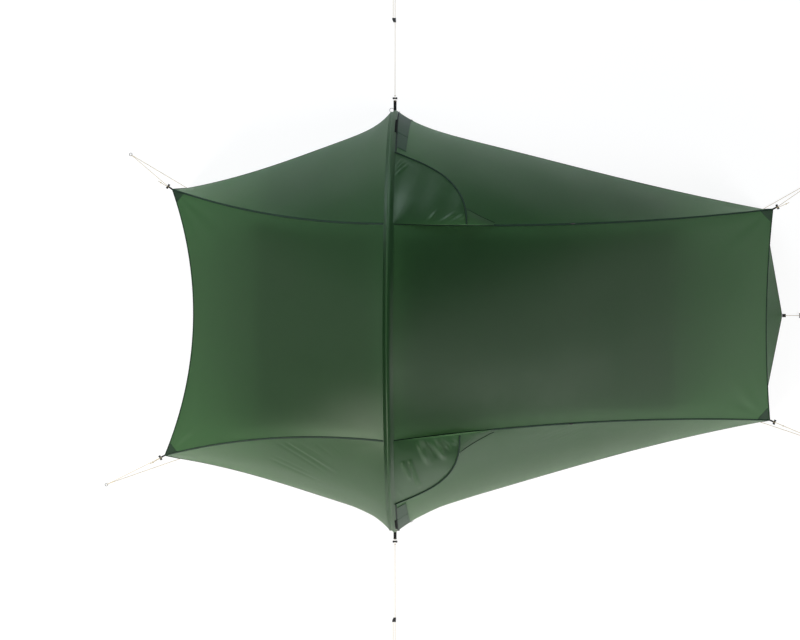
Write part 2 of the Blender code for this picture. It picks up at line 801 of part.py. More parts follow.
def make_zip_sliders():
    """A slider with its puller on each door zip, beside the pole and at the zip's foot."""
    seat = ARCH_RADIUS + HALF_CLOTH + CLEARANCE + FACET_ROOM
    x = SLEEVE_FLANGE - SLIDER_SIZE.x / 2 - CLEARANCE
    for side_name, side in SIDES.items():
        angle = SLIDER_ANGLE * side
        turn = Matrix.Rotation(-angle, 4, "X")
        middle = arch_point(angle, x, seat + SLIDER_SIZE.z / 2)
        slider = box(f"zip_slider_{side_name}", SLIDER_SIZE, middle, turn, "zip")
        drop = (SLIDER_SIZE.y + PULLER_SIZE.y) / 2 - PULLER_LAP
        place = Matrix.Translation(middle) @ turn @ Vector((0.0, drop * side, PULLER_RISE))
        puller = box(f"zip_puller_{side_name}", PULLER_SIZE, place, turn)
        boolean(slider, puller, "UNION")
        centre = Vector((0.0, 0.0, ARCH_CENTRE_Z))
        hang(slider, centre, Vector((side, 0.0, 0.0)))


def make_arch_feet():
    """A cup for each end of the arch pole, with the webbing strap that the guyline holds."""
    end = height_angle(POLE_END_Z)
    for side_name, side in SIDES.items():
        foot = arch_point(end * side)
        centre = Vector((0.0, foot.y, 0.0))
        outer, bore = CUP_DIAMETER / 2, POLE_DIAMETER / 2 + CUP_PLAY
        profile = [(0.0, 0.0), (outer, 0.0), (outer, CUP_HEIGHT), (bore, CUP_HEIGHT),
                   (bore, CUP_FLOOR), (0.0, CUP_FLOOR)]
        cup = turned(f"arch_foot_{side_name}", profile, "trim", centre, Vector((0, 0, 1)))
        reach = CUP_DIAMETER / 2 + STRAP_LENGTH
        size = Vector((STRAP_WIDTH, STRAP_LENGTH + STRAP_ROOT, STRAP_THICKNESS))
        middle = centre + Vector((0.0, side * (reach - size.y / 2), STRAP_THICKNESS / 2))
        strap = box(f"arch_strap_{side_name}", size, middle)
        eye = Vector((0.0, foot.y + side * (reach - STRAP_EYE_MARGIN), -STRAP_THICKNESS))
        hole = turned(f"strap_eye_{side_name}",
                      [(0.0, 0.0), (STRAP_EYE / 2, 0.0),
                       (STRAP_EYE / 2, 3 * STRAP_THICKNESS), (0.0, 3 * STRAP_THICKNESS)],
                      None, eye, Vector((0, 0, 1)))
        boolean(cup, strap, "UNION")
        boolean(cup, hole, "DIFFERENCE")


def line_lock(name, centre, direction):
    """A dumbbell-shaped line lock lying across a cord, with the cord's bore through its waist."""
    half, r, waist = LOCK_LENGTH / 2, LOCK_DIAMETER / 2, LOCK_WAIST / 2
    cross = Vector((0, 0, 1)).cross(direction).normalized()
    profile = [(0.0, 0.0), (r * 0.6, 0.0), (r, r * 0.4), (r, r * 1.1), (waist, r * 1.6)]
    profile += [(radius, LOCK_LENGTH - height) for radius, height in reversed(profile)]
    lock = turned(name, profile, "plastic", centre - cross * half, cross, LOCK_STEPS)
    bore = CORD_DIAMETER / 2 + CORD_PLAY
    length = 2 * LOCK_DIAMETER
    drill = turned(name + "_bore", [(0.0, 0.0), (bore, 0.0), (bore, length), (0.0, length)],
                   None, centre - direction.normalized() * length / 2, direction, 12)
    boolean(lock, drill, "DIFFERENCE")
    return lock


def bight(wire, towards, back, radius, count=6):
    """Points of a cord's turn about a wire: it comes in along towards and leaves along back."""
    first = Vector((0, 0, 1)) - towards * towards.z
    first.normalize()
    second = Vector((0, 0, -1)) + back * back.z
    second.normalize()
    axis = towards.cross(first).normalized()
    points = []
    turn = -first.angle(second)
    if (Matrix.Rotation(turn / 2, 3, axis) @ first).dot(towards) < 0:
        turn = -turn
    for i in range(count + 1):
        points.append(wire + Matrix.Rotation(turn * i / count, 3, axis) @ first * radius)
    return points


def make_corner_guy(end, end_name, side, side_name, ring_centre):
    """A corner guyline: its lock at the strut's top, the cord round the peg ring and back."""
    top = corner(end, side, True)
    foot = corner(end, side, False)
    flat = Vector((ring_centre.x - top.x, ring_centre.y - top.y, 0.0)).normalized()
    r = RING_DIAMETER / 2 - RING_WIRE / 2
    clear = RING_WIRE / 2 + CORD_DIAMETER / 2 + CLEARANCE
    wire = ring_centre - flat * r
    wire.z = clear + CORD_DIAMETER / 2 + CLEARANCE
    tilt = math.asin((wire.z - RING_LOW_Z) / (2 * r))
    centre = wire + flat * r * math.cos(tilt)
    centre.z = (wire.z + RING_LOW_Z) / 2
    make_ring(f"peg_ring_{end_name}_{side_name}", centre, r, flat, tilt)

    middle = top + flat * LOCK_STAND_OFF
    direction = (wire + Vector((0, 0, clear)) - middle).normalized()
    lock = line_lock(f"line_lock_{end_name}_{side_name}", middle, direction)
    tab_start = top + flat * TAB_ROOM
    reach = LOCK_WAIST * TAB_REACH
    tab_end = middle - direction * reach - Vector((0.0, 0.0, reach))
    tab_run = tab_end - tab_start
    tab = box(f"lock_tab_{end_name}_{side_name}",
              Vector((tab_run.length, TAB_WIDTH, TAB_THICKNESS)),
              (tab_start + tab_end) / 2, along(tab_run))
    boolean(lock, tab, "UNION")

    leave = Vector((foot.x + end * CORD_FOOT_OUT, foot.y + side * CORD_FOOT_OUT, CORD_FOOT_Z))
    back = (leave - wire).normalized()
    turn = bight(wire, direction, back, clear)
    behind = middle - direction * CORNER_TAIL_START
    tail = [behind + flat * out + Vector((0.0, 0.0, up)) for out, up in CORNER_TAIL]
    points = tail + [behind + direction * KNOT_TAPER, middle] + turn + [leave]
    radii = [1.0] * len(points)
    last = (tail[0] - tail[1]).normalized()
    points[1:1] = [tail[1] + last * (KNOT_TAPER + KNOT_LENGTH), tail[1] + last * KNOT_TAPER]
    radii[1:1] = [KNOT_SWELL, KNOT_SWELL]
    tube(f"corner_cord_{end_name}_{side_name}", points, CORD_DIAMETER / 2, "cord", radii)


def make_ring(name, centre, radius, flat, tilt):
    """A wire ring tilted so that its near side stands over the cord."""
    side_way = Vector((-flat.y, flat.x, 0.0))
    forward = flat * math.cos(tilt) - Vector((0, 0, math.sin(tilt)))
    normal = forward.cross(side_way)
    if normal.z < 0:
        normal = -normal
    bm = bmesh.new()
    loops = []
    for i in range(RING_STEPS):
        angle = 2 * math.pi * i / RING_STEPS
        out = forward * math.cos(angle) + side_way * math.sin(angle)
        loop = []
        for j in range(RING_SIDES):
            turn = 2 * math.pi * j / RING_SIDES
            offset = out * math.cos(turn) + normal * math.sin(turn)
            loop.append(bm.verts.new(centre + out * radius + offset * RING_WIRE / 2))
        loops.append(loop)
    for loop, following in zip(loops, loops[1:] + loops[:1]):
        for j in range(RING_SIDES):
            k = (j + 1) % RING_SIDES
            bm.faces.new((loop[j], loop[k], following[k], following[j]))
    add_mesh(name, bm, "aluminium")


def knot(start, out):
    """A cord's knot: its points and how much the cord swells at each."""
    reach = (0.0, KNOT_TAPER, KNOT_TAPER + KNOT_LENGTH, 2 * KNOT_TAPER + KNOT_LENGTH)
    return [start + out * length for length in reach], [1.0, KNOT_SWELL, KNOT_SWELL, 1.0]


def peg_loop(start, out, across):
    """A cord's half turn round a peg, from one strand to the other."""
    half = GUY_STRAND_GAP / 2
    points = []
    for i in range(LOOP_STEPS + 1):
        angle = math.pi * i / LOOP_STEPS
        points.append(start + across * half * (1 - math.cos(angle)) + out * half * math.sin(angle))
    return points


def make_arch_guy(side_name, side):
    """The guyline at an arch foot: its lock, its runner and the cord's loop at the peg."""
    foot = arch_point(height_angle(POLE_END_Z) * side)
    out = Vector((0.0, side, 0.0))
    strap_end = abs(foot.y) + CUP_DIAMETER / 2 + STRAP_LENGTH
    start = Vector((0.0, side * (strap_end - STRAP_EYE_MARGIN), GUY_HEIGHT))
    lock_at = Vector((0.0, side * ARCH_LOCK_Y, GUY_HEIGHT))
    line_lock(f"line_lock_arch_{side_name}", lock_at, out)

    run = Vector((0.0, side * (RUNNER_Y - RUNNER_LENGTH / 2), GUY_HEIGHT))
    runner = make_runner(f"line_runner_{side_name}", run, side)
    hang(runner, run, out)
    bore = CORD_DIAMETER / 2 + CORD_PLAY
    for index, x in enumerate((0.0, -GUY_STRAND_GAP)):
        begin = run + Vector((x, -side * RUNNER_LENGTH, 0.0))
        length = 3 * RUNNER_LENGTH
        drill = turned(f"runner_bore_{side_name}_{index}",
                       [(0.0, 0.0), (bore, 0.0), (bore, length), (0.0, length)],
                       None, begin, out, 12)
        boolean(runner, drill, "DIFFERENCE")

    low = CORD_DIAMETER / 2 + CLEARANCE
    heights = (STRAP_THICKNESS + CORD_DIAMETER, GUY_HEIGHT - KNOT_TAPER, GUY_HEIGHT)
    points = [Vector((0.0, start.y, low))]
    points += [Vector((0.0, start.y + side * along_cord, height))
               for along_cord, height in zip(ARCH_CORD_RISE, heights)]
    points.append(lock_at)
    radii = [1.0] * len(points)
    knot_points, knot_radii = knot(lock_at + out * LOCK_DIAMETER, out)
    points += knot_points
    radii += knot_radii
    points += peg_loop(Vector((0.0, side * ARCH_GUY_END, GUY_HEIGHT)), out, Vector((-1.0, 0.0, 0.0)))
    points.append(Vector((-GUY_STRAND_GAP, side * RUNNER_Y, GUY_HEIGHT)))
    radii += [1.0] * (len(points) - len(radii))
    tube(f"arch_cord_{side_name}", points, CORD_DIAMETER / 2, "cord", radii)


def make_runner(name, start, side):
    """A wedge-shaped runner: one strand on the tent's side, two on the peg's side."""
    outline = bpy.data.curves.new(name, "CURVE")
    outline.dimensions = "2D"
    outline.fill_mode = "BOTH"
    outline.extrude = RUNNER_THICKNESS / 2
    spline = outline.splines.new("POLY")
    nose, wide = RUNNER_NOSE / 2, RUNNER_WIDTH / 2
    middle = -GUY_STRAND_GAP / 2
    shoulder = RUNNER_LENGTH * RUNNER_SHOULDER
    shape = [(-nose + middle / 2, 0.0), (nose, 0.0), (wide + middle, shoulder),
             (wide + middle, RUNNER_LENGTH), (-wide + middle, RUNNER_LENGTH),
             (-wide + middle, shoulder)]
    spline.points.add(len(shape) - 1)
    for point, (x, y) in zip(spline.points, shape):
        point.co = (x, y * side, 0.0, 1.0)
    spline.use_cyclic_u = True
    runner = add(name, outline, "plastic")
    runner = as_mesh(runner)
    runner.location = start
    return runner


def make_foot_guy():
    """The peg-out at the middle of the foot wall: webbing loop, line lock and cord."""
    out = Vector((1.0, 0.0, 0.0))
    loop_start = FOOT_PEAK + out * (HALF_CLOTH + 2 * CLEARANCE)
    size = Vector((FOOT_LOOP_LENGTH, FOOT_LOOP_WIDTH, FOOT_LOOP_THICKNESS))
    loop = box("foot_webbing_loop", size, loop_start + out * size.x / 2, None, "trim")
    eye_at = loop_start + out * size.x * FOOT_EYE_PLACE
    eye_radius, drill = FOOT_LOOP_EYE / 2, 10 * FOOT_LOOP_THICKNESS
    eye = turned("webbing_eye",
                 [(0.0, 0.0), (eye_radius, 0.0), (eye_radius, drill), (0.0, drill)], None,
                 eye_at - Vector((0.0, 0.0, drill / 2)), Vector((0.0, 0.0, 1.0)), 12)
    boolean(loop, eye, "DIFFERENCE")
    lock_at = Vector((FOOT_LOCK_X, FOOT_PEAK.y, HEM_HEIGHT))
    line_lock("line_lock_foot", lock_at, out)
    points = [eye_at - Vector((0.0, 0.0, FOOT_CORD_DROP))]
    points += [eye_at + Vector((reach, 0.0, up)) for reach, up in FOOT_CORD_RISE]
    points.append(lock_at)
    radii = [1.0] * len(points)
    knot_points, knot_radii = knot(lock_at + out * LOCK_DIAMETER, out)
    points += knot_points
    radii += knot_radii
    peg_at = Vector((FOOT_GUY_END, FOOT_PEAK.y, GUY_HEIGHT))
    points += peg_loop(peg_at, out, Vector((0.0, 1.0, 0.0)))
    cord_end = Vector((FOOT_LOCK_X + FOOT_CORD_END, FOOT_PEAK.y + GUY_STRAND_GAP, GUY_HEIGHT))
    points.append(cord_end)
    radii += [1.0] * (len(points) - len(radii))
    tube("foot_cord", points, CORD_DIAMETER / 2, "cord", radii)


def make_toggles():
    """The small toggles on the foot-side seams that hold a rolled door."""
    share = (TOGGLE_X - PANEL_X) / (FOOT_TOP_LENGTH - PANEL_X)
    for side_name, side in SIDES.items():
        at = seam(1.0, side)(share)
        run = (seam(1.0, side)(share + 0.01) - at).normalized()
        out = mirrored(TOGGLE_LEAN, side)
        stand = HALF_CLOTH + CLEARANCE + TOGGLE_DIAMETER / 2
        r = TOGGLE_DIAMETER / 2
        profile = [(0.0, 0.0), (r * 0.7, 0.0), (r, r * 0.5), (r, TOGGLE_LENGTH - r * 0.5),
                   (r * 0.7, TOGGLE_LENGTH), (0.0, TOGGLE_LENGTH)]
        turned(f"door_toggle_{side_name}", profile, "plastic",
               at + out * stand - run * TOGGLE_LENGTH / 2, run, 10)


def inner_half_width(x):
    """The inner tent's half width at the top of its tub."""
    share = (x - INNER_HEAD_X) / (INNER_FOOT_X - INNER_HEAD_X)
    return INNER_HEAD_HALF_WIDTH + (INNER_FOOT_HALF_WIDTH - INNER_HEAD_HALF_WIDTH) * share


def make_tub():
    """The inner tent's floor: an open tub that narrows towards the foot."""
    bm = bmesh.new()
    bmesh.ops.create_cube(bm, size=1.0)
    bmesh.ops.delete(bm, geom=[f for f in bm.faces if f.normal.z > 0.5], context="FACES")
    for vert in bm.verts:
        at_head = vert.co.x < 0
        x = INNER_HEAD_X if at_head else INNER_FOOT_X
        z = TUB_HEIGHT if vert.co.z > 0 else 0.0
        vert.co = Vector((x, math.copysign(inner_half_width(x), vert.co.y), z))
    tub = add_mesh("inner_floor", bm, "floor")
    thicken(tub, TUB_CLOTH, -1.0)


def inner_section(x, end_lean):
    """The inner tent's cross-section at x, from its left foot over the roof to its right."""
    end = -1.0 if x < 0 else 1.0
    reach = (HEAD_TOP_LENGTH if x < 0 else FOOT_TOP_LENGTH) - PANEL_X
    u = min(max((abs(x) - PANEL_X) / reach, 0.0), 1.0)
    shoulder, other = seam(end, 1.0)(u), seam(end, -1.0)(u)
    drift = (shoulder.y + other.y) / 2
    crown = roof_panel(end)(u, 0.5)
    base = TUB_HEIGHT + CLEARANCE
    low = Vector((x, inner_half_width(x) - TUB_CLOTH / 2, base))
    high = Vector((x, shoulder.y - drift - INNER_ROOM * math.sin(SEAM_ANGLE),
                   shoulder.z - INNER_ROOM * math.cos(SEAM_ANGLE)))
    top = Vector((x, 0.0, crown.z - INNER_ROOM))
    left = [low, low.lerp(high, 0.5), high]
    quarter = high.lerp(top, 0.5) + Vector((0.0, 0.0, (top.z - high.z) * INNER_ROOF_BULGE))
    half = left + [quarter, top]
    points = half + [Vector((p.x, -p.y, p.z)) for p in reversed(half[:-1])]
    for point in points:
        point.x += end_lean * (point.z - base)
        point.y += drift * min((point.z - base) / (high.z - base), 1.0)
    return points


def canopy_surface(name, finish):
    """The inner tent's walls and roof in one surface that is open at the tub."""
    bm = bmesh.new()
    rings = []
    head, foot = INNER_HEAD_X + TUB_CLOTH, INNER_FOOT_X - TUB_CLOTH
    stations = [head * (1 - i / INNER_HEAD_BAYS) for i in range(INNER_HEAD_BAYS)]
    stations += [foot * i / INNER_FOOT_BAYS for i in range(INNER_FOOT_BAYS + 1)]
    for x in stations:
        lean = 0.0
        if x in (head, foot):
            lean = math.copysign(INNER_END_LEAN / (CORNER_HEIGHT - TUB_HEIGHT), -x)
        rings.append([bm.verts.new(point) for point in inner_section(x, lean)])
    for ring, following in zip(rings, rings[1:]):
        for i in range(len(ring) - 1):
            bm.faces.new((ring[i], ring[i + 1], following[i + 1]))
            bm.faces.new((ring[i], following[i + 1], following[i]))
    bm.faces.new(rings[0])
    bm.faces.new(list(reversed(rings[-1])))
    return add_mesh(name, bm, finish)


def door_cutter(name, side, play):
    """A tall-arched outline in the inner tent's side wall, pushed through that wall."""
    outline = bpy.data.curves.new(name, "CURVE")
    outline.dimensions = "2D"
    outline.fill_mode = "BOTH"
    outline.extrude = 0.30
    spline = outline.splines.new("POLY")
    half = INNER_DOOR_LENGTH / 2 - play
    low, high = INNER_DOOR_SILL + play, INNER_DOOR_TOP - play
    corner_radius = min(half, high - low) * INNER_DOOR_ROUND
    rounding = []
    for i in range(INNER_DOOR_STEPS + 1):
        angle = math.pi / 2 * i / INNER_DOOR_STEPS
        rounding.append((half - corner_radius * (1 - math.cos(angle)),
                         high - corner_radius * (1 - math.sin(angle))))
    shape = [(-half, low), (half, low)] + rounding
    shape += [(-x, z) for x, z in reversed(rounding)]
    spline.points.add(len(shape) - 1)
    for point, (x, z) in zip(spline.points, shape):
        point.co = (x, z, 0.0, 1.0)
    spline.use_cyclic_u = True
    cutter = as_mesh(add(name, outline, "plastic"))
    cutter.matrix_world = Matrix.Translation(
        (INNER_DOOR_START + INNER_DOOR_LENGTH / 2, side * 0.60, 0.0)
    ) @ Matrix.Rotation(math.pi / 2, 4, "X")
    for owner in list(cutter.users_collection):
        owner.objects.unlink(cutter)
    collection("cutters").objects.link(cutter)
    cutter.hide_render = True
    cutter.display_type = "WIRE"
    return cutter


def make_inner_tent():
    """The inner tent: tub, canopy with two doorways, and the two inner doors."""
    make_tub()
    canopy = canopy_surface("inner_canopy", "inner")
    thicken(canopy, CLOTH)
    top = ARCH_RADIUS - SLEEVE_BORE - SLEEVE_WALL - CLEARANCE - FACET_ROOM
    length = INNER_ROOM + HANGER_ROOT
    for number, angle in enumerate((-SEAM_ANGLE, 0.0, SEAM_ANGLE)):
        hanger = box(f"inner_hanger_{number + 1}",
                     Vector((HANGER_WIDTH, HANGER_THICKNESS, length)),
                     arch_point(angle, 0.0, top - length / 2), Matrix.Rotation(-angle, 4, "X"))
        boolean(canopy, hanger, "UNION")
    for side_name, side in SIDES.items():
        opening = door_cutter(f"inner_doorway_{side_name}", side, 0.0)
        boolean(canopy, opening, "DIFFERENCE")
        door = canopy_surface(f"inner_door_{side_name}", "mesh")
        thicken(door, CLOTH)
        leaf = door_cutter(f"inner_leaf_{side_name}", side, INNER_DOOR_GAP)
        boolean(door, leaf, "INTERSECT")
        hang(door, *inner_door_hinge(side))


def build():
    """Clear the scene and make every piece of the tent."""
    for old in list(bpy.data.objects):
        bpy.data.objects.remove(old, do_unlink=True)
    make_arch_pole()
    make_sleeve()
    make_struts()
    make_fly()
    make_vents()
    make_zip_sliders()
    make_arch_feet()
    rings = {
        ("head", "left"): HEAD_LEFT_RING,
        ("head", "right"): HEAD_RIGHT_RING,
        ("foot", "left"): FOOT_LEFT_RING,
        ("foot", "right"): FOOT_RIGHT_RING,
    }
    for (end_name, side_name), ring in rings.items():
        end = -1.0 if end_name == "head" else 1.0
        make_corner_guy(end, end_name, SIDES[side_name], side_name, ring)
    for side_name, side in SIDES.items():
        make_arch_guy(side_name, side)
    make_foot_guy()
    make_toggles()
    make_inner_tent()


build()
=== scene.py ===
"""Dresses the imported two-person tent with its cloth, seams, zips, guylines and inner tent.

Frame: metres, +Z up. The origin is on the ground under the crown of the arch pole.
The head end is at -X, the foot end at +X, the left side at +Y and the right side at -Y.
"""

import math

import bmesh
import bpy
import numpy as np
from bpy.props import FloatProperty, FloatVectorProperty, PointerProperty
from bpy.types import Operator, Panel, PropertyGroup
from mathutils import Matrix, Vector


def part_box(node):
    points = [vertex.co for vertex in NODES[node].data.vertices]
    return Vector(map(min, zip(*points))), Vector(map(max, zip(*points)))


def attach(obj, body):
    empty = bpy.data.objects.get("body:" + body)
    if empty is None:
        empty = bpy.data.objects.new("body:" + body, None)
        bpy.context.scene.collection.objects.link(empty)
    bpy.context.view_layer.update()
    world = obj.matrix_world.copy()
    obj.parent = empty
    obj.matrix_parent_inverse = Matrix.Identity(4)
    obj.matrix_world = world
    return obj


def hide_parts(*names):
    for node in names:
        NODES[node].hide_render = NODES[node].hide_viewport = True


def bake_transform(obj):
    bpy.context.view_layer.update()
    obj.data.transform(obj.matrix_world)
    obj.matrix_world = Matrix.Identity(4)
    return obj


bl_info = {
    "name": "Two-person tent",
    "version": (1, 0, 0),
    "blender": (4, 5, 0),
    "location": "View3D > Sidebar > Tent",
    "description": "Dresses the frame of a two-person tent with cloth, seams and guylines",
    "category": "Object",
}

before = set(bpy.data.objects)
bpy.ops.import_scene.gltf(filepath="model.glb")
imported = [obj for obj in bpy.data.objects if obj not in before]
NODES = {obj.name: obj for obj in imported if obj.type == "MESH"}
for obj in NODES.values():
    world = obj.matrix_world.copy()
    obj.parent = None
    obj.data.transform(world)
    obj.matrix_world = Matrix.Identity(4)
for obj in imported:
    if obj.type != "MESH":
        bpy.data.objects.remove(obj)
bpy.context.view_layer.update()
SIDES = {"left": 1.0, "right": -1.0}
ENDS = {"head": -1.0, "foot": 1.0}

# The arch, and the fly sheet's corners and peak
ARCH_SPAN = 2.45
ARCH_HEIGHT = 1.05
ARCH_RADIUS = (ARCH_HEIGHT**2 + (ARCH_SPAN / 2) ** 2) / (2 * ARCH_HEIGHT)
ARCH_CENTRE_Z = ARCH_HEIGHT - ARCH_RADIUS
HEAD_LENGTH = 1.245
HEAD_HALF_WIDTH = 0.795
HEAD_TOP_LENGTH = 1.232
HEAD_TOP_HALF_WIDTH = 0.730
FOOT_LENGTH = 2.160
FOOT_HALF_WIDTH = 0.625
FOOT_TOP_LENGTH = 2.076
FOOT_TOP_HALF_WIDTH = 0.579
CORNER_HEIGHT = 0.325
HEM_HEIGHT = 0.012
SEAM_ANGLE = math.radians(24.4)
FOOT_PEAK = Vector((2.277, 0.026, HEM_HEIGHT))
# How far the corners lie from a square pitch: (forwards on the left side, towards the left)
HEAD_TOP_SHIFT = (0.0205, 0.007)
HEAD_LOW_SHIFT = (0.0205, -0.020)
FOOT_TOP_SHIFT = (0.0085, 0.049)
FOOT_LOW_SHIFT = (0.0085, 0.026)
SLEEVE_FLANGE = 0.020
SLEEVE_END_Z = 0.024
SLEEVE_CROWN = 0.0078
SLEEVE_STITCHES = (-0.0172, -0.0110, 0.0110)
ZIP_GARAGE = (math.radians(54.7), math.radians(63.0))
ZIP_PITCH = 0.0026
SLIDER_ANGLE = math.radians(76.0)
SLEEVE_COVER = ((-0.0265, -0.0010), (-0.0207, 0.0022), (-0.0150, 0.0054), (-0.0100, 0.0078),
                (-0.0060, 0.0090), (-0.0025, 0.0095), (0.0005, 0.0095))
PANEL_X = 0.0207
CLOTH = 0.0012

# How far the edges of the cloth draw in at their middles
HEAD_SEAM_DRAW = Vector((0.0, -0.045, -0.030))
FOOT_SEAM_DRAW = Vector((0.0, -0.036, -0.020))
HEAD_HEM_DRAW = Vector((0.0, -0.0630, 0.035))
FOOT_HEM_DRAW = Vector((0.0, -0.0585, 0.035))
FOOT_HEM_DRIFT = Vector((0.0, 0.0105, 0.0))
HEM_ARCH_Z = 0.060
HEM_ARCH_DRAW = Vector((0.0, -0.039, 0.0))
HEM_ARCH_REACH = 0.12
HEAD_EDGE_DRAW = Vector((0.158, 0.0, 0.075))
FOOT_EDGE_DRAW = Vector((-0.036, 0.0, 0.020))
HEAD_WALL_HEM_DRAW = Vector((0.095, 0.0, 0.030))

# Vents and doors
VENT_LENGTH = 0.340
VENT_ANGLE = math.radians(21.6)
VENT_TAIL = 0.500
VENT_CORNER = math.radians(14.0)
VENT_BEND = 0.8
HOOD_LIFT = 0.050
HOOD_WALL_SWELL = 0.02
MESH_SAG = 0.004
GUSSET_SHARE = 0.30
GUSSET_DIP = 0.006
# How far the pipings stand above their cloth's edge
PIPING_LIFT = 0.0018
GUSSET_EDGE_LIFT = 0.0011
# Each hood's length and depth as shares of its vent's, and how its mouth is rounded: a
# quarter circle at 1, squarer below it
HOOD_SHAPE = {"left": (1.03, 0.985, 0.87), "right": (0.94, 0.985, 0.80)}
DOOR_FOLD_HEM = 1.150

# Guylines
CORD_DIAMETER = 0.0025
LOCK_STAND_OFF = 0.028
LOCK_DIAMETER = 0.012
LOCK_LENGTH = 0.028
LOCK_WAIST = 0.0044
# From a lock's middle to its knot, and to where its cord runs straight
LOCK_KNOT = LOCK_DIAMETER + 0.0035
LOCK_CLEAR = 0.03
RING_DIAMETER = 0.020
RING_WIRE = 0.003
RING_LOW_Z = 0.0018
CLEARANCE = 0.0003
GUY_HEIGHT = 0.009
ARCH_GUY_END = 2.020
ARCH_LOCK_Y = 1.305
RUNNER_Y = 1.765
GUY_STRAND_GAP = 0.011
ARCH_EYE_Y = 1.28804
STRAP_THICKNESS = 0.002
STRAP_REACH = 0.070
STRAP_PITCH = 0.0032
STRAP_STITCH = 0.0024
CORNER_TAIL = ((0.050, 0.052), (0.030, 0.048), (0.010, 0.036), (-0.003, 0.020), (-0.004, 0.007))
CORNER_TAIL_START = 0.009
CORD_FOOT_OUT = 0.004
CORD_FOOT_Z = 0.0045
ARCH_CORD_RISE = (0.002, 0.006, 0.012)
FOOT_CORD_RISE = ((0.001, -0.001), (0.004, 0.0032), (0.012, 0.0042), (0.030, 0.001), (0.040, 0.0))
FOOT_CORD_DROP = 0.0042
FOOT_EYE_X = 2.29184
FOOT_LOCK_X = 2.385
FOOT_GUY_END = 2.480
FOOT_CORD_END = 0.020
RINGS = {
    ("head", "left"): Vector((-1.558, 0.975, 0.0)),
    ("head", "right"): Vector((-1.702, -0.972, 0.0)),
    ("foot", "left"): Vector((2.510, 0.844, 0.0)),
    ("foot", "right"): Vector((2.570, -0.743, 0.0)),
}

# Inner tent
INNER_HEAD_X = -0.800
INNER_FOOT_X = 1.600
INNER_HEAD_HALF_WIDTH = 0.640
INNER_FOOT_HALF_WIDTH = 0.490
TUB_HEIGHT = 0.120
INNER_ROOM = 0.055
INNER_END_LEAN = 0.060
INNER_DOOR_START = 0.020
INNER_DOOR_LENGTH = 0.860
INNER_DOOR_SILL = 0.150
INNER_DOOR_TOP = 0.600
CANOPY_INSET = 0.0015
CANOPY_SPAN = (INNER_HEAD_X + CANOPY_INSET, INNER_FOOT_X - CANOPY_INSET)
CANOPY_COLUMNS = 190
WALL_ROWS = 60
ROOF_ROWS = 20

# The photograph's camera: its place over the tent, its focal length and its centre in pixels
CAMERA_PLACE = Vector((0.159, 0.294, 4.66))
PHOTO_SIZE = (800, 640)
PHOTO_FOCAL = 790.0
PHOTO_CENTRE = (422.0, 270.0)

# The studio's soft lamps: name, place, power in watts, diameter and colour
LAMPS = (
    ("head_right", (-4.2, -4.3, 3.1), 380.0, 3.0, (1.0, 0.97, 0.90)),
    ("head_left", (-1.0, 4.8, 2.5), 185.0, 3.0, (0.80, 0.90, 1.0)),
    ("head_high", (-3.4, 2.8, 5.0), 60.0, 3.0, (1.0, 1.0, 1.0)),
    ("head", (-5.0, 0.0, 3.0), 44.0, 3.0, (1.0, 1.0, 1.0)),
    ("foot", (5.5, 0.0, 3.5), 65.0, 3.0, (1.0, 1.0, 1.0)),
    ("foot_right", (4.8, -2.6, 4.0), 140.0, 3.0, (1.0, 1.0, 1.0)),
    ("low_right", (0.1, -3.3, 0.4), 30.0, 2.0, (1.0, 1.0, 1.0)),
    ("low_foot_right", (1.8, -3.1, 0.5), 34.0, 2.0, (1.0, 1.0, 1.0)),
)
LAMP_AIM = Vector((0.4, 0.0, 0.3))
FLOOR_SIZE = 30.0
FLOOR_Z = -0.0006
# The floor's whiteness to the camera, and how far it glows there
FLOOR_SEEN = 0.20
FLOOR_GLOW = 0.84

# Each roof half: a corner's length and depth, the waves' seed, and the cut's width and length
ROOFS = {"head": ((1.25, 1.4), 12, (1.26, 1.46)), "foot": ((2.1, 1.2), 11, (2.15, 1.20))}
SIDE_SLACK = 1.2
PATCH_LENGTH = 0.07
PATCH_WIDTH = 0.065
# The height of a seam's stitches as a share of the seam's, and widths of narrow seams
STITCH_HEIGHT = 0.72
CORNER_SEAM_WIDTH = 0.008
EDGE_SEAM_WIDTH = 0.009

# Creases in the cloth, as pixels of the photograph: start, end, half width, and depth in metres
HEAD_RIGHT_CREASES = (
    ((286.3, 443.0), (340.6, 477.5), 1.3, -0.0042),
    ((278.6, 443.8), (329.9, 475.9), 1.0, -0.0028),
    ((291.0, 443.2), (343.0, 475.0), 1.1, 0.0030),
    ((300.0, 443.5), (328.4, 460.6), 0.9, -0.0016),
    ((316.9, 444.5), (336.0, 459.0), 0.9, -0.0016),
    ((331.4, 444.5), (343.7, 456.0), 0.9, -0.0012),
    ((272.5, 459.8), (326.0, 484.3), 1.1, -0.0026),
    ((276.3, 457.0), (319.0, 477.0), 1.0, -0.0016),
)
FOOT_RIGHT_CREASES = (
    ((554.1, 425.8), (530.1, 439.9), 0.8, -0.0014),
    ((571.5, 425.8), (530.0, 442.3), 0.8, -0.0016),
    ((581.5, 424.0), (531.0, 445.7), 0.8, -0.0018),
    ((589.0, 424.0), (533.4, 448.0), 0.8, -0.0018),
    ((595.6, 423.3), (539.2, 449.0), 0.8, -0.0018),
    ((603.9, 422.4), (552.5, 445.7), 0.8, -0.0016),
    ((610.5, 422.4), (559.0, 444.8), 0.8, -0.0014),
)
HOOD_LEFT_CREASES = (
    ((422.0, 229.0), (440.0, 208.0), 1.8, 0.0060),
    ((431.0, 229.0), (459.0, 211.0), 2.0, 0.0085),
    ((441.0, 229.0), (470.0, 213.0), 2.2, 0.0095),
    ((396.0, 166.5), (403.0, 158.5), 0.8, 0.0080),
    ((396.0, 170.0), (406.5, 160.5), 0.8, 0.0085),
    ((396.0, 174.5), (409.5, 162.5), 0.9, 0.0085),
)
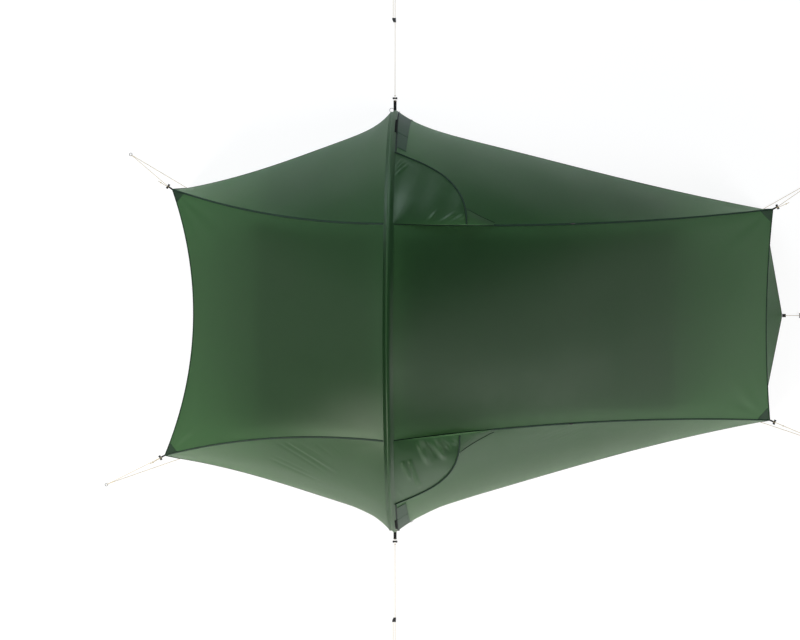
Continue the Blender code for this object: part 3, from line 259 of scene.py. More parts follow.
HOOD_RIGHT_CREASES = (
    ((415.0, 436.0), (430.0, 467.0), 2.4, 0.0130),
    ((422.0, 436.0), (437.0, 460.0), 1.9, -0.0090),
    ((430.0, 435.0), (446.0, 462.0), 2.4, 0.0140),
    ((439.0, 434.0), (452.0, 452.0), 1.8, -0.0090),
    ((445.0, 432.0), (459.0, 447.0), 2.0, 0.0110),
    ((403.0, 463.0), (412.0, 482.0), 1.9, 0.0130),
    ((410.0, 462.0), (421.0, 490.0), 1.8, 0.0150),
    ((392.5, 488.0), (402.0, 500.5), 0.8, -0.0044),
    ((392.5, 492.0), (400.0, 501.5), 0.7, -0.0040),
    ((393.0, 484.0), (405.0, 498.0), 0.8, 0.0044),
)


def colour_setting(name, about, default):
    """A colour among the settings."""
    return FloatVectorProperty(name=name, description=about, subtype="COLOR", size=3,
                               min=0.0, max=1.0, default=default)


def number_setting(name, about, default, low, high, unit="LENGTH"):
    """A length among the settings or, with the unit NONE, a plain number."""
    return FloatProperty(name=name, description=about, default=default, min=low, max=high,
                         unit=unit)


class ClothSettings(PropertyGroup):
    """Colours and sizes of the tent's cloth."""

    fly: colour_setting("Fly sheet", "Colour of the fly sheet", (0.0076, 0.0350, 0.0108))
    glow: colour_setting(
        "Fly sheet's glow", "Colour of the light that comes through it", (0.450, 0.750, 0.420))
    binding: colour_setting(
        "Binding", "Colour of seams, hems and piping", (0.012, 0.030, 0.018))
    patch: colour_setting(
        "Patches", "Colour of the reinforcement patches", (0.011, 0.034, 0.018))
    thread: colour_setting("Thread", "Colour of the stitches", (0.010, 0.026, 0.014))
    inner: colour_setting(
        "Inner tent", "Colour of the inner tent's canopy", (0.150, 0.145, 0.115))
    floor: colour_setting("Tub floor", "Colour of the inner tent's floor", (0.030, 0.034, 0.034))
    net: colour_setting("Net", "Colour of the mesh vents and inner doors", (0.014, 0.018, 0.016))
    seam_width: number_setting("Seam width", "Width of a felled seam", 0.011, 0.004, 0.02)
    seam_height: number_setting(
        "Seam height", "How far a felled seam stands over the cloth", 0.0016, 0.0005, 0.004)
    hem_width: number_setting("Hem width", "Width of the binding round a hem", 0.011, 0.004, 0.03)
    slack: number_setting("Slack", "How far the taut cloth waves in and out", 0.0016, 0.0, 0.01)


class StitchSettings(PropertyGroup):
    """Sizes of the stitches."""

    pitch: number_setting("Pitch", "Distance from stitch to stitch", 0.0042, 0.002, 0.01)
    length: number_setting("Stitch length", "Length of each stitch", 0.0030, 0.001, 0.008)
    thickness: number_setting("Thread thickness", "Thickness of the thread", 0.0005, 0.0002, 0.002)


class GuylineSettings(PropertyGroup):
    """Colours and sizes of guylines and fittings."""

    cord: colour_setting("Cord", "Colour of the guylines", (0.480, 0.370, 0.180))
    plastic: colour_setting(
        "Plastic", "Colour of locks, runners and toggles", (0.010, 0.010, 0.011))
    metal: colour_setting("Metal", "Colour of the poles", (0.560, 0.570, 0.580))
    knot_size: number_setting(
        "Knot size", "Width of a knot across its strands", 0.0078, 0.004, 0.02)


class StageSettings(PropertyGroup):
    """Light and floor of the studio."""

    daylight: number_setting(
        "Daylight", "Strength of the light from all round", 0.09, 0.0, 4.0, "NONE")
    power: number_setting("Lamps", "Factor on the power of every lamp", 1.0, 0.0, 10.0, "NONE")
    floor: number_setting("Floor", "Whiteness of the floor", 0.85, 0.0, 1.0, "NONE")


def height_angle(z):
    """The angle from the crown at which the arch has this height."""
    return math.acos((z - ARCH_CENTRE_Z) / ARCH_RADIUS)


def arch_point(angle, x=0.0, rise=0.0):
    """A point of the arch, or of a circle beside it, at an angle from the crown."""
    r = ARCH_RADIUS + rise
    return Vector((x, r * math.sin(angle), ARCH_CENTRE_Z + r * math.cos(angle)))


def mirrored(point, side):
    """The same point on the left (1) or the right (-1) side."""
    return Vector((point.x, point.y * side, point.z))


def drawn(start, end, pull):
    """A curve from start to end, as a function of 0..1, that its middle's pull bends."""
    return lambda t: start.lerp(end, t) + pull * (4 * t * (1 - t))


def patch(arch_edge, end_edge, top_edge, low_edge):
    """Taut cloth between four edges, as a function of u (arch to end) and v (top to low)."""
    a, b = arch_edge(0.0), arch_edge(1.0)
    d, c = end_edge(0.0), end_edge(1.0)

    def place(u, v):
        flat = a.lerp(b, v).lerp(d.lerp(c, v), u)
        arch_bulge = (arch_edge(v) - a.lerp(b, v)) * (1 - u) ** 2
        end_bulge = (end_edge(v) - d.lerp(c, v)) * u**2
        top_bulge = (top_edge(u) - a.lerp(d, u)) * (1 - v)
        low_bulge = (low_edge(u) - b.lerp(c, u)) * v
        return flat + arch_bulge + end_bulge + top_bulge + low_bulge

    return place


def corner(end, side, top):
    """A corner of the fly: the end is -1 at the head and 1 at the foot."""
    if end < 0:
        length = HEAD_TOP_LENGTH if top else HEAD_LENGTH
        width = HEAD_TOP_HALF_WIDTH if top else HEAD_HALF_WIDTH
        turn, drift = HEAD_TOP_SHIFT if top else HEAD_LOW_SHIFT
    else:
        length = FOOT_TOP_LENGTH if top else FOOT_LENGTH
        width = FOOT_TOP_HALF_WIDTH if top else FOOT_HALF_WIDTH
        turn, drift = FOOT_TOP_SHIFT if top else FOOT_LOW_SHIFT
    height = CORNER_HEIGHT if top else HEM_HEIGHT
    return Vector((end * length + side * turn, side * width + drift, height))


def seam(end, side):
    """The seam between roof and side panel, from the sleeve to the corner's top."""
    start = mirrored(arch_point(SEAM_ANGLE, end * PANEL_X), side)
    draw = HEAD_SEAM_DRAW if end < 0 else FOOT_SEAM_DRAW
    return drawn(start, corner(end, side, True), mirrored(draw, side))


def hem(end, side):
    """The side panel's hem, from the arch's foot to the corner's foot."""
    start = mirrored(arch_point(height_angle(HEM_ARCH_Z), end * PANEL_X), side)
    draw = mirrored(HEAD_HEM_DRAW if end < 0 else FOOT_HEM_DRAW, side)
    if end > 0:
        draw += FOOT_HEM_DRIFT
    slow = drawn(start, corner(end, side, False), draw)
    near = mirrored(HEM_ARCH_DRAW, side)

    def place(t):
        share = t / HEM_ARCH_REACH
        return slow(t) + near * (share * math.exp(1 - share) * (1 - t))

    return place


def side_panel(end, side):
    """The whole side panel from the arch to the corner strut."""
    low = height_angle(HEM_ARCH_Z)

    def arch_edge(v):
        angle = SEAM_ANGLE + (low - SEAM_ANGLE) * v
        return mirrored(arch_point(angle, end * PANEL_X), side)

    end_edge = drawn(corner(end, side, True), corner(end, side, False), Vector())
    return patch(arch_edge, end_edge, seam(end, side), hem(end, side))


def roof_edge(end):
    """The roof's free edge over an end wall, from the left corner to the right one."""
    draw = HEAD_EDGE_DRAW if end < 0 else FOOT_EDGE_DRAW
    return drawn(corner(end, 1.0, True), corner(end, -1.0, True), draw)


def roof_panel(end):
    """The roof between the two seams, from the arch to the end wall."""

    def arch_edge(v):
        return arch_point(SEAM_ANGLE * (1 - 2 * v), end * PANEL_X)

    return patch(arch_edge, roof_edge(end), seam(end, 1.0), seam(end, -1.0))


def wall_hem(end):
    """An end wall's hem, from its left corner to its right one."""
    left, right = corner(end, 1.0, False), corner(end, -1.0, False)
    if end < 0:
        return drawn(left, right, HEAD_WALL_HEM_DRAW)
    return lambda t: (left.lerp(FOOT_PEAK, 2 * t) if t < 0.5
                      else FOOT_PEAK.lerp(right, 2 * t - 1))


def end_wall(end):
    """The wall under the roof's edge: v runs from the edge down to the hem."""
    top_edge, low_edge = roof_edge(end), wall_hem(end)
    return lambda u, v: top_edge(u).lerp(low_edge(u), v)


def vent_size():
    """The vent's half axes in the side panel's (u, v)."""
    along = VENT_LENGTH / (FOOT_TOP_LENGTH - PANEL_X)
    down = VENT_ANGLE / (height_angle(HEM_ARCH_Z) - SEAM_ANGLE)
    return along, down


def vent_tail():
    """Where the vent's tail and the door's fold line meet the seam, as a share of it."""
    return VENT_TAIL / (FOOT_TOP_LENGTH - PANEL_X)


def vent_edge(t):
    """The vent's lower edge in the panel's (u, v), from the arch (0) to its tail (1)."""
    a, b = vent_size()
    if t <= VENT_BEND:
        angle = math.pi / 2 - (math.pi / 2 - VENT_CORNER) * t / VENT_BEND
        return (a * math.cos(angle), b * math.sin(angle))
    share = (t - VENT_BEND) / (1 - VENT_BEND)
    u, v = a * math.cos(VENT_CORNER), b * math.sin(VENT_CORNER)
    return (u + (vent_tail() - u) * share, v * (1 - share))


def fold_point(t):
    """The door's fold line in the panel's (u, v), from the seam (0) to the hem (1)."""
    top = vent_tail()
    low = (DOOR_FOLD_HEM - PANEL_X) / (FOOT_LENGTH - PANEL_X)
    return (top + (low - top) * t, t)


def filled(left, right, top, low):
    """A region of a panel in (u, v) between four edges, as a function of its own (a, b)."""

    def place(a, b):
        result = []
        for i in range(2):
            sides = (1 - a) * left(b)[i] + a * right(b)[i]
            ends = (1 - b) * top(a)[i] + b * low(a)[i]
            corners = (1 - b) * ((1 - a) * top(0)[i] + a * top(1)[i])
            corners += b * ((1 - a) * low(0)[i] + a * low(1)[i])
            result.append(sides + ends - corners)
        return result

    return place


def door_region():
    """The door in (u, v): from the arch to the fold line, and from the vent to the hem."""
    low = fold_point(1.0)[0]
    start = vent_edge(0.0)[1]
    return filled(
        lambda b: (0.0, start + (1 - start) * b),
        fold_point,
        vent_edge,
        lambda a: (low * a, 1.0),
    )


def rear_region():
    """The fixed part of the foot-side panel in (u, v), behind the fold line."""
    top, low = fold_point(0.0)[0], fold_point(1.0)[0]
    return filled(
        fold_point,
        lambda b: (1.0, b),
        lambda a: (top + (1 - top) * a, 0.0),
        lambda a: (low + (1 - low) * a, 1.0),
    )


def quarter_region(edge, top_length, side_depth):
    """A quarter disc at the arch's seam corner in (u, v), with its rim split in the middle."""
    return filled(
        lambda b: (0.0, side_depth * b),
        lambda b: edge(1 - b / 2),
        lambda a: (top_length * a, 0.0),
        lambda a: edge(a / 2),
    )


def hood_lift(u, v):
    """How high the vent's hood stands over the side panel at a place of it."""
    a, b = vent_size()
    reach = math.hypot(u / a, v / b)
    angle = math.atan2(v / b, u / a)
    rise = HOOD_LIFT * (math.cos(angle) ** 2 + math.sin(2 * angle))
    return CLOTH + CLEARANCE + max(rise, 0.0) * reach


def normal_of(place, u, v):
    """The outward unit normal of a panel at a place on it."""
    step = 0.002
    across = place(min(u + step, 1.0), v) - place(max(u - step, 0.0), v)
    down = place(u, min(v + step, 1.0)) - place(u, max(v - step, 0.0))
    normal = across.cross(down).normalized()
    return normal if normal.z > 0 else -normal


def photo_place(points):
    """Where points in the frame lie in the photograph, in pixels."""
    scale = PHOTO_FOCAL / (CAMERA_PLACE.z - points[..., 2])
    x = PHOTO_CENTRE[0] + (points[..., 0] - CAMERA_PLACE.x) * scale
    y = PHOTO_CENTRE[1] - (points[..., 1] - CAMERA_PLACE.y) * scale
    return x, y


def creased(points, creases):
    """How far the creases raise or sink each of these points, in metres."""
    x, y = photo_place(points)
    total = np.zeros(x.shape)
    for (x0, y0), (x1, y1), half_width, depth in creases:
        dx, dy = x1 - x0, y1 - y0
        length = math.hypot(dx, dy)
        along = ((x - x0) * dx + (y - y0) * dy) / length**2
        across = ((x - x0) * dy - (y - y0) * dx) / length
        fade = np.clip(np.minimum(along * 6 + 0.6, (1 - along) * 2.2), 0, 1)
        fade = fade * fade * (3 - 2 * fade)
        total += depth * fade * np.exp(-((across / half_width) ** 2))
    return total


def tension(u, v, corners):
    """Fine folds that fan out of the corners where the cloth is pulled.

    Each corner is its (u, v), the panel's length and depth there, a height and a count.
    """
    total = np.zeros(u.shape)
    for corner_u, corner_v, length, depth, height, count in corners:
        du, dv = np.abs(u - corner_u) * length, np.abs(v - corner_v) * depth
        far = np.hypot(du, dv)
        angle = np.arctan2(dv, du + 1e-9)
        swell = np.sin(np.clip(angle / (math.pi / 2), 0, 1) * math.pi * count)
        total += height * swell * (far / 0.05) * np.exp(-far / 0.10)
    return total


def waves(points, height, scale, seed):
    """Slow waves in the cloth, each of its own direction."""
    rng = np.random.default_rng(seed)
    total = np.zeros(points.shape[:-1])
    for number in range(5):
        direction = rng.normal(size=3)
        direction /= np.linalg.norm(direction)
        turn = points @ direction * (2 * math.pi / (scale * (0.6 + 0.25 * number)))
        total += np.sin(turn + rng.uniform(0, 2 * math.pi)) / (1 + number)
    return total * height / 2


def grid_points(place, columns, rows):
    """The points of a surface, row by row, with their (a, b)."""
    b, a = np.meshgrid(np.linspace(0, 1, rows + 1), np.linspace(0, 1, columns + 1), indexing="ij")
    flat = [place(x, y)[:] for x, y in zip(a.ravel(), b.ravel())]
    return np.array(flat).reshape(rows + 1, columns + 1, 3), a, b


def grid_normals(points, out=(0.0, 0.0, 1.0)):
    """Unit normals of a grid of points that face a direction."""
    normals = np.cross(np.gradient(points, axis=1), np.gradient(points, axis=0))
    normals /= np.linalg.norm(normals, axis=-1, keepdims=True) + 1e-12
    facing = np.sign((normals * np.array(out)).sum(axis=-1, keepdims=True))
    facing[facing == 0] = 1
    return normals * facing


def inward_fade(a, b):
    """Nought at a grid's edges and one inside, so that folds die out at the seams."""
    edge = np.minimum(np.minimum(a, 1 - a) * 14, np.minimum(b, 1 - b) * 14)
    return np.clip(edge, 0, 1)


def arc_lengths(line):
    """Distance along a line of points, from its first point."""
    steps = np.linalg.norm(np.diff(line, axis=0), axis=1)
    return np.concatenate([[0.0], np.cumsum(steps)])


def new_object(name, mesh, material):
    """Link a mesh into the scene under a name, with its material."""
    made = bpy.data.objects.new(name, mesh)
    mesh.materials.append(material)
    bpy.context.scene.collection.objects.link(made)
    return made


def cut_mesh(name, points, faces, cut, material):
    """A smooth cloth mesh with its cut in metres, a pair per face corner, as its UV map."""
    mesh = bpy.data.meshes.new(name)
    mesh.from_pydata(points, [], faces)
    mesh.uv_layers.new(name="Cut").data.foreach_set("uv", np.ravel(cut))
    mesh.shade_smooth()
    return new_object(name, mesh, material)


def grid_quads(rows, columns):
    """The corners of each quad in a grid of points, as the points' numbers."""
    index = np.arange(rows * columns).reshape(rows, columns)
    return np.stack([index[:-1, :-1], index[:-1, 1:], index[1:, 1:], index[1:, :-1]],
                    axis=-1).reshape(-1, 4)


def grid_mesh(name, points, material, up=(0.0, 0.0, 1.0)):
    """A cloth surface from a grid of points, which faces up."""
    rows, columns = points.shape[:2]
    row, column = rows // 2, columns // 2
    quads = grid_quads(rows, columns)
    here = points[row, column]
    facing = np.cross(points[row, column + 1] - here, points[row + 1, column] - here)
    if facing @ np.array(up) < 0:
        quads = quads[:, ::-1]
    lengths = np.meshgrid(arc_lengths(points[row]), arc_lengths(points[:, column]))
    cut = np.stack(lengths, axis=-1).reshape(-1, 2)[quads.ravel()]
    return cut_mesh(name, points.reshape(-1, 3).tolist(), quads.tolist(), cut, material)


def joined(name, pieces):
    """One object of several, with the points where they meet merged."""
    bm = bmesh.new()
    for piece in pieces:
        bm.from_mesh(piece.data)
    bmesh.ops.remove_doubles(bm, verts=bm.verts, dist=0.00004)
    mesh = bpy.data.meshes.new(name)
    bm.to_mesh(mesh)
    bm.free()
    mesh.shade_smooth()
    material = pieces[0].data.materials[0]
    for piece in pieces:
        bpy.data.objects.remove(piece)
    return new_object(name, mesh, material)


def line_frames(path, normals=None):
    """Tangent, side and normal at each point of a path."""
    tangent = np.gradient(path, axis=0)
    tangent /= np.linalg.norm(tangent, axis=1, keepdims=True) + 1e-12
    if normals is None:
        up = np.array([0.0, 0.0, 1.0]) if abs(tangent[0, 2]) < 0.9 else np.array([1.0, 0, 0])
        normals = np.zeros_like(path)
        current = up - tangent[0] * (up @ tangent[0])
        for i, way in enumerate(tangent):
            current = current - way * (current @ way)
            current /= np.linalg.norm(current) + 1e-12
            normals[i] = current
    side = np.cross(normals, tangent)
    side /= np.linalg.norm(side, axis=1, keepdims=True) + 1e-12
    return tangent, side, np.cross(tangent, side)


def swept(name, path, outline, material, normals=None, scales=None, closed=False):
    """A closed outline of (side, up) points swept along a path, with its length as UV."""
    path, outline = np.asarray(path, float), np.asarray(outline, float)
    _, side, normal = line_frames(path, normals)
    scales = np.ones(len(path)) if scales is None else np.asarray(scales)
    spread = outline[:, :1] * side[:, None] + outline[:, 1:] * normal[:, None]
    points = (path[:, None] + scales[:, None, None] * spread).reshape(-1, 3)
    count, length = len(outline), len(path)
    along = arc_lengths(path)
    along = np.append(along, 2 * along[-1] - along[-2])
    round_it = arc_lengths(np.vstack([outline, outline[:1]]))
    faces, uvs = [], []
    for i in range(length if closed else length - 1):
        here, follow = i * count, (i + 1) % length * count
        for j in range(count):
            k = (j + 1) % count
            faces.append((here + j, here + k, follow + k, follow + j))
            uvs += [(along[i], round_it[j]), (along[i], round_it[j + 1]),
                    (along[i + 1], round_it[j + 1]), (along[i + 1], round_it[j])]
    if not closed:
        faces.append(tuple(reversed(range(count))))
        faces.append(tuple(range((length - 1) * count, length * count)))
        uvs += [(0.0, round_it[j]) for j in reversed(range(count))]
        uvs += [(along[length - 1], round_it[j]) for j in range(count)]
    made = cut_mesh(name, points.tolist(), faces, uvs, material)
    bm = bmesh.new()
    bm.from_mesh(made.data)
    bmesh.ops.recalc_face_normals(bm, faces=bm.faces)
    bm.to_mesh(made.data)
    bm.free()
    made.data.set_sharp_from_angle(angle=math.radians(50))
    return made


def circle(radius, sides):
    """A round outline."""
    turns = [2 * math.pi * i / sides for i in range(sides)]
    return [(radius * math.cos(t), radius * math.sin(t)) for t in turns]


def strip_outline(width, height, steps=6):
    """A low rounded strip: flat below, domed above."""
    dome = [math.pi * i / steps for i in range(steps + 1)]
    top = [(width / 2 * math.cos(t), height * math.sin(t) ** 0.6) for t in dome]
    return top + [(-width / 2, -height * 0.3), (width / 2, -height * 0.3)]


def smooth_path(points, step):
    """Points a step apart on a smooth curve through the points of a route."""
    points = [np.array(p[:], float) for p in points]
    ends = [2 * points[0] - points[1]] + points + [2 * points[-1] - points[-2]]
    curve = []
    for before, start, end, after in zip(ends, ends[1:], ends[2:], ends[3:]):
        t0 = math.sqrt(max(np.linalg.norm(start - before), 1e-6))
        t1 = math.sqrt(max(np.linalg.norm(end - start), 1e-6))
        t2 = math.sqrt(max(np.linalg.norm(after - end), 1e-6))
        way_in = (start - before) / t0 - (end - before) / (t0 + t1) + (end - start) / t1
        way_out = (end - start) / t1 - (after - start) / (t1 + t2) + (after - end) / t2
        way_in, way_out = way_in * t1, way_out * t1
        for t in np.linspace(0, 1, 24, endpoint=False):
            curve.append(
                (2 * t**3 - 3 * t**2 + 1) * start + (t**3 - 2 * t**2 + t) * way_in
                + (-2 * t**3 + 3 * t**2) * end + (t**3 - t**2) * way_out
            )
    curve.append(points[-1])
    curve = np.array(curve)
    along = arc_lengths(curve)
    places = np.linspace(0, along[-1], max(int(along[-1] / step), 8) + 1)
    return np.stack([np.interp(places, along, curve[:, i]) for i in range(3)], axis=1)


def settled(piece, body, *replaced, slot):
    """Let a piece ride on its body and stand for its CAD nodes; its slot is not used."""
    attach(piece, body)
    if replaced:
        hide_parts(*replaced)
    return piece


def strip(name, line, size, finish, body, slot, *replaced, **form):
    """A low strip of a width and height along a line of (points, normals), on its body."""
    points, normals = line
    made = swept(name, points, strip_outline(*size), finish_of(finish), normals, **form)
    return settled(made, body, *replaced, slot=slot)


def hoop(name, centre, ways, radius, wire, detail, finish, slot, *replaced):
    """A round wire about a centre in the plane of two ways; detail is its steps and sides."""
    steps, sides = detail
    first, second = ways
    turns = np.linspace(0, 2 * math.pi, steps, endpoint=False)
    loop = np.array([(centre + (first * math.cos(t) + second * math.sin(t)) * radius)[:]
                     for t in turns])
    made = swept(name, loop, circle(wire, sides), finish_of(finish),
                 loop - np.array(centre[:]), closed=True)
    return settled(made, "tent", *replaced, slot=slot)


def wired(tree, made, inputs):
    """Give a node its inputs: a value each, or a socket to link."""
    for key, value in inputs.items():
        if isinstance(value, bpy.types.NodeSocket):
            tree.links.new(value, made.inputs[key])
        else:
            made.inputs[key].default_value = value
    return made


def added(tree, kind, inputs=None, **settings):
    """Add a node of a kind, with its settings and its inputs."""
    made = tree.nodes.new(kind)
    for key, value in settings.items():
        setattr(made, key, value)
    return wired(tree, made, inputs or {})


def node(tree, kind, inputs=None, **settings):
    """Add a shader node, with its settings and its inputs."""
    return added(tree, "ShaderNode" + kind, inputs, **settings)


def maths(tree, operation, first, second=0.0, clamp=False):
    """The result of one sum on two values or sockets."""
    return node(tree, "Math", {0: first, 1: second}, operation=operation,
                use_clamp=clamp).outputs[0]


def mixed(tree, share, first, second):
    """A colour between two colours, as a socket."""
    return node(tree, "Mix", {0: share, 6: first, 7: second}, data_type="RGBA").outputs[2]


def ranged(tree, value, **limits):
    """A value moved from one range to another, as a socket; from_min stands for From Min."""
    named = {key.replace("_", " ").title(): limit for key, limit in limits.items()}
    return node(tree, "MapRange", {"Value": value, **named}).outputs[0]


def shader_group(name, inputs, outputs):
    """An empty shader node group, the sockets of its inputs, and its output node."""
    group = bpy.data.node_groups.new(name, "ShaderNodeTree")
    for label, kind, default in inputs:
        socket = group.interface.new_socket(label, in_out="INPUT", socket_type="NodeSocket" + kind)
        if default is not None:
            socket.default_value = default
    for label, kind in outputs:
        group.interface.new_socket(label, in_out="OUTPUT", socket_type="NodeSocket" + kind)
    given, result = group.nodes.new("NodeGroupInput"), group.nodes.new("NodeGroupOutput")
    return group, given.outputs, result


def weave_group():
    """Plain weave with a ripstop grid: its height and the mask of the grid's threads."""
    group, given, result = shader_group(
        "Woven cloth",
        [("Vector", "Vector", None), ("Thread", "Float", 0.0008), ("Grid", "Float", 0.006),
         ("Grid height", "Float", 0.5)],
        [("Height", "Float"), ("Grid", "Float")])
    axes = node(group, "SeparateXYZ", {0: given["Vector"]}).outputs
    turns, lines = [], []
    for axis in ("X", "Y"):
        threads = maths(group, "DIVIDE", axes[axis], given["Thread"])
        turns.append(maths(group, "SINE", maths(group, "MULTIPLY", threads, math.pi)))
        near = maths(group, "PINGPONG", maths(group, "DIVIDE", axes[axis], given["Grid"]), 0.5)
        lines.append(maths(group, "SUBTRACT", 1.0, maths(group, "MULTIPLY", near, 9.0), True))
    grid = maths(group, "MAXIMUM", *lines)
    raised = maths(group, "MULTIPLY", grid, given["Grid height"])
    height = maths(group, "ADD", maths(group, "MULTIPLY", *turns), raised)
    wired(group, result, {"Height": height, "Grid": grid})
    return group


def mottle_group():
    """Uneven colour and sheen: a slow and a fine noise added up, about nought to one."""
    group, given, result = shader_group(
        "Mottled",
        [("Vector", "Vector", None), ("Size", "Float", 0.3), ("Fine size", "Float", 0.02),
         ("Fine share", "Float", 0.35)],
        [("Value", "Float")])
    slow, fine = (
        node(group, "TexNoise", {"Vector": given["Vector"], "Detail": 3.0,
                                 "Scale": maths(group, "DIVIDE", 1.0, given[size])}).outputs["Fac"]
        for size in ("Size", "Fine size"))
    both = node(group, "Mix", {0: given["Fine share"], 2: slow, 3: fine}).outputs[0]
    wired(group, result, {"Value": ranged(group, both, from_min=0.32, from_max=0.68)})
    return group


def braid_group():
    """A braided cord or webbing: slanting strands over its length, and their height."""
    group, given, result = shader_group(
        "Braided",
        [("Vector", "Vector", None), ("Pitch", "Float", 0.0016), ("Slant", "Float", 1.0)],
        [("Height", "Float"), ("Strand", "Float")])
    axes = node(group, "SeparateXYZ", {0: given["Vector"]}).outputs
    strands = []
    for sign in ("ADD", "SUBTRACT"):
        leaning = maths(group, "MULTIPLY", axes["Y"], given["Slant"])
        turns = maths(group, "DIVIDE", maths(group, sign, axes["X"], leaning), given["Pitch"])
        strands.append(maths(group, "SINE", maths(group, "MULTIPLY", turns, 2 * math.pi)))
    wired(group, result, {"Height": maths(group, "MAXIMUM", *strands),
                          "Strand": maths(group, "GREATER_THAN", strands[0], 0.92)})
    return group


def scuff_group():
    """Fine scuffs and dust on hard pieces: a mask of the worn places."""
    group, given, result = shader_group(
        "Scuffed",
        [("Vector", "Vector", None), ("Size", "Float", 0.004), ("Amount", "Float", 0.5)],
        [("Mask", "Float")])
    stretched = node(group, "Mapping", {"Vector": given["Vector"], "Scale": (1.0, 1.0, 0.25)})
    noise = node(group, "TexNoise", {
        "Vector": stretched.outputs[0], "Scale": maths(group, "DIVIDE", 1.0, given["Size"]),
        "Detail": 5.0, "Roughness": 0.6})
    rough = ranged(group, noise.outputs["Fac"], from_min=0.55, from_max=0.75)
    wired(group, result, {"Mask": maths(group, "MULTIPLY", rough, given["Amount"])})
    return group


def grouped(tree, name, inputs):
    """The outputs of a shared shader group, which is built when it is first needed."""
    builders = {"Woven cloth": weave_group, "Mottled": mottle_group, "Braided": braid_group,
                "Scuffed": scuff_group}
    group = bpy.data.node_groups.get(name) or builders[name]()
    return node(tree, "Group", inputs, node_tree=group).outputs


def shade(colour, factor):
    """A colour made darker or lighter, as the four numbers that a socket takes."""
    return tuple(min(part * factor, 1.0) for part in colour) + (1.0,)


def started(name):
    """A new material, its tree, its shader, and its places and its cut as sockets."""
    made = bpy.data.materials.new(name)
    made.use_nodes = True
    tree = made.node_tree
    coordinates = node(tree, "TexCoord").outputs
    return made, tree, tree.nodes["Principled BSDF"], coordinates["Object"], coordinates["UV"]


def uneven(tree, shader, place, colour, spread, size, rough, rough_spread):
    """Give a shader a mottled colour and roughness; the colour comes back as a socket."""
    mottle = grouped(tree, "Mottled", {"Vector": place, "Size": size,
                                       "Fine size": size / 12})["Value"]
    base = mixed(tree, mottle, shade(colour, 1 - spread), shade(colour, 1 + spread))
    roughness = ranged(tree, mottle, to_min=rough - rough_spread, to_max=rough + rough_spread)
    wired(tree, shader, {"Base Color": base, "Roughness": roughness})
    return base


def bumped(tree, shader, height, distance, strength=1.0):
    """Drive a shader's normal from a height."""
    bump = node(tree, "Bump", {"Height": height, "Distance": distance, "Strength": strength})
    wired(tree, shader, {"Normal": bump.outputs[0]})


def let_light_through(tree, shader, colour, share):
    """Mix a share of light that shines through the cloth into its shader."""
    glow = node(tree, "BsdfTranslucent", {"Color": shade(colour, 1.0)})
    mix = node(tree, "MixShader", {0: share, 1: shader.outputs[0], 2: glow.outputs[0]})
    wired(tree, tree.nodes["Material Output"], {"Surface": mix.outputs[0]})


def cloth_material(name, colour, glow=None, share=0.0, thread=0.0009, grid=0.006,
                   rough=0.38, sheen=0.0, gloss=0.32):
    """Woven, coated cloth: ripstop weave, uneven sheen and some light through it."""
    made, tree, shader, place, cut = started(name)
    base = uneven(tree, shader, place, colour, 0.07, 0.35, rough, 0.05)
    weave = grouped(tree, "Woven cloth", {"Vector": cut, "Thread": thread, "Grid": grid})
    faint = maths(tree, "MULTIPLY", weave["Grid"], 0.35)
    bumped(tree, shader, weave["Height"], 0.00006, 0.6)
    wired(tree, shader, {
        "Base Color": mixed(tree, faint, base, shade(colour, 1.35)),
        "Sheen Weight": sheen, "Sheen Tint": (0.80, 1.0, 0.72, 1.0),
        "Specular IOR Level": gloss, "Specular Tint": (0.88, 1.0, 0.84, 1.0)})
    if share:
        let_light_through(tree, shader, glow, share)
    return made


def webbing_material(name, colour, pitch=0.0022, rough=0.62, gloss=0.12):
    """Ribbed webbing, binding or tape."""
    made, tree, shader, place, cut = started(name)
    uneven(tree, shader, place, colour, 0.14, 0.03, rough, 0.06)
    braid = grouped(tree, "Braided", {"Vector": cut, "Pitch": pitch, "Slant": 0.6})
    bumped(tree, shader, braid["Height"], 0.00012, 0.8)
    wired(tree, shader, {"Specular IOR Level": gloss})
    return made


def cord_material(name, colour):
    """Braided guyline cord with darker tracer threads."""
    made, tree, shader, place, cut = started(name)
    base = uneven(tree, shader, place, colour, 0.10, 0.04, 0.55, 0.06)
    braid = grouped(tree, "Braided", {"Vector": cut, "Pitch": 0.0024, "Slant": 0.9})
    traced = mixed(tree, braid["Strand"], base, shade(colour, 0.45))
    wired(tree, shader, {"Base Color": traced})
    bumped(tree, shader, braid["Height"], 0.00018, 0.9)
    return made


def net_material(name, colour):
    """Fine insect net: dark threads, partly clear, with the holes' pattern in its relief."""
    made, tree, shader, place, cut = started(name)
    uneven(tree, shader, place, colour, 0.15, 0.2, 0.55, 0.05)
    weave = grouped(tree, "Woven cloth", {"Vector": cut, "Thread": 0.0012, "Grid": 0.0012,
                                          "Grid height": 1.0})
    wired(tree, shader, {"Alpha": ranged(tree, weave["Grid"], to_min=0.42, to_max=1.0)})
    bumped(tree, shader, weave["Height"], 0.0001, 0.8)
    return made


def hard_material(name, colour, metallic, rough, wear, size=0.004):
    """Moulded plastic or drawn metal with fine scuffs."""
    made, tree, shader, place, _ = started(name)
    base = uneven(tree, shader, place, colour, 0.06, 0.05, rough, 0.05)
    scuffs = grouped(tree, "Scuffed", {"Vector": place, "Size": size, "Amount": 0.8})
    worn = mixed(tree, scuffs["Mask"], base, shade(wear, 1.0))
    wired(tree, shader, {"Base Color": worn, "Metallic": metallic})
    noise = node(tree, "TexNoise", {"Vector": place, "Scale": 2500.0, "Detail": 2.0})
    bumped(tree, shader, noise.outputs["Fac"], 0.00002)
    return made


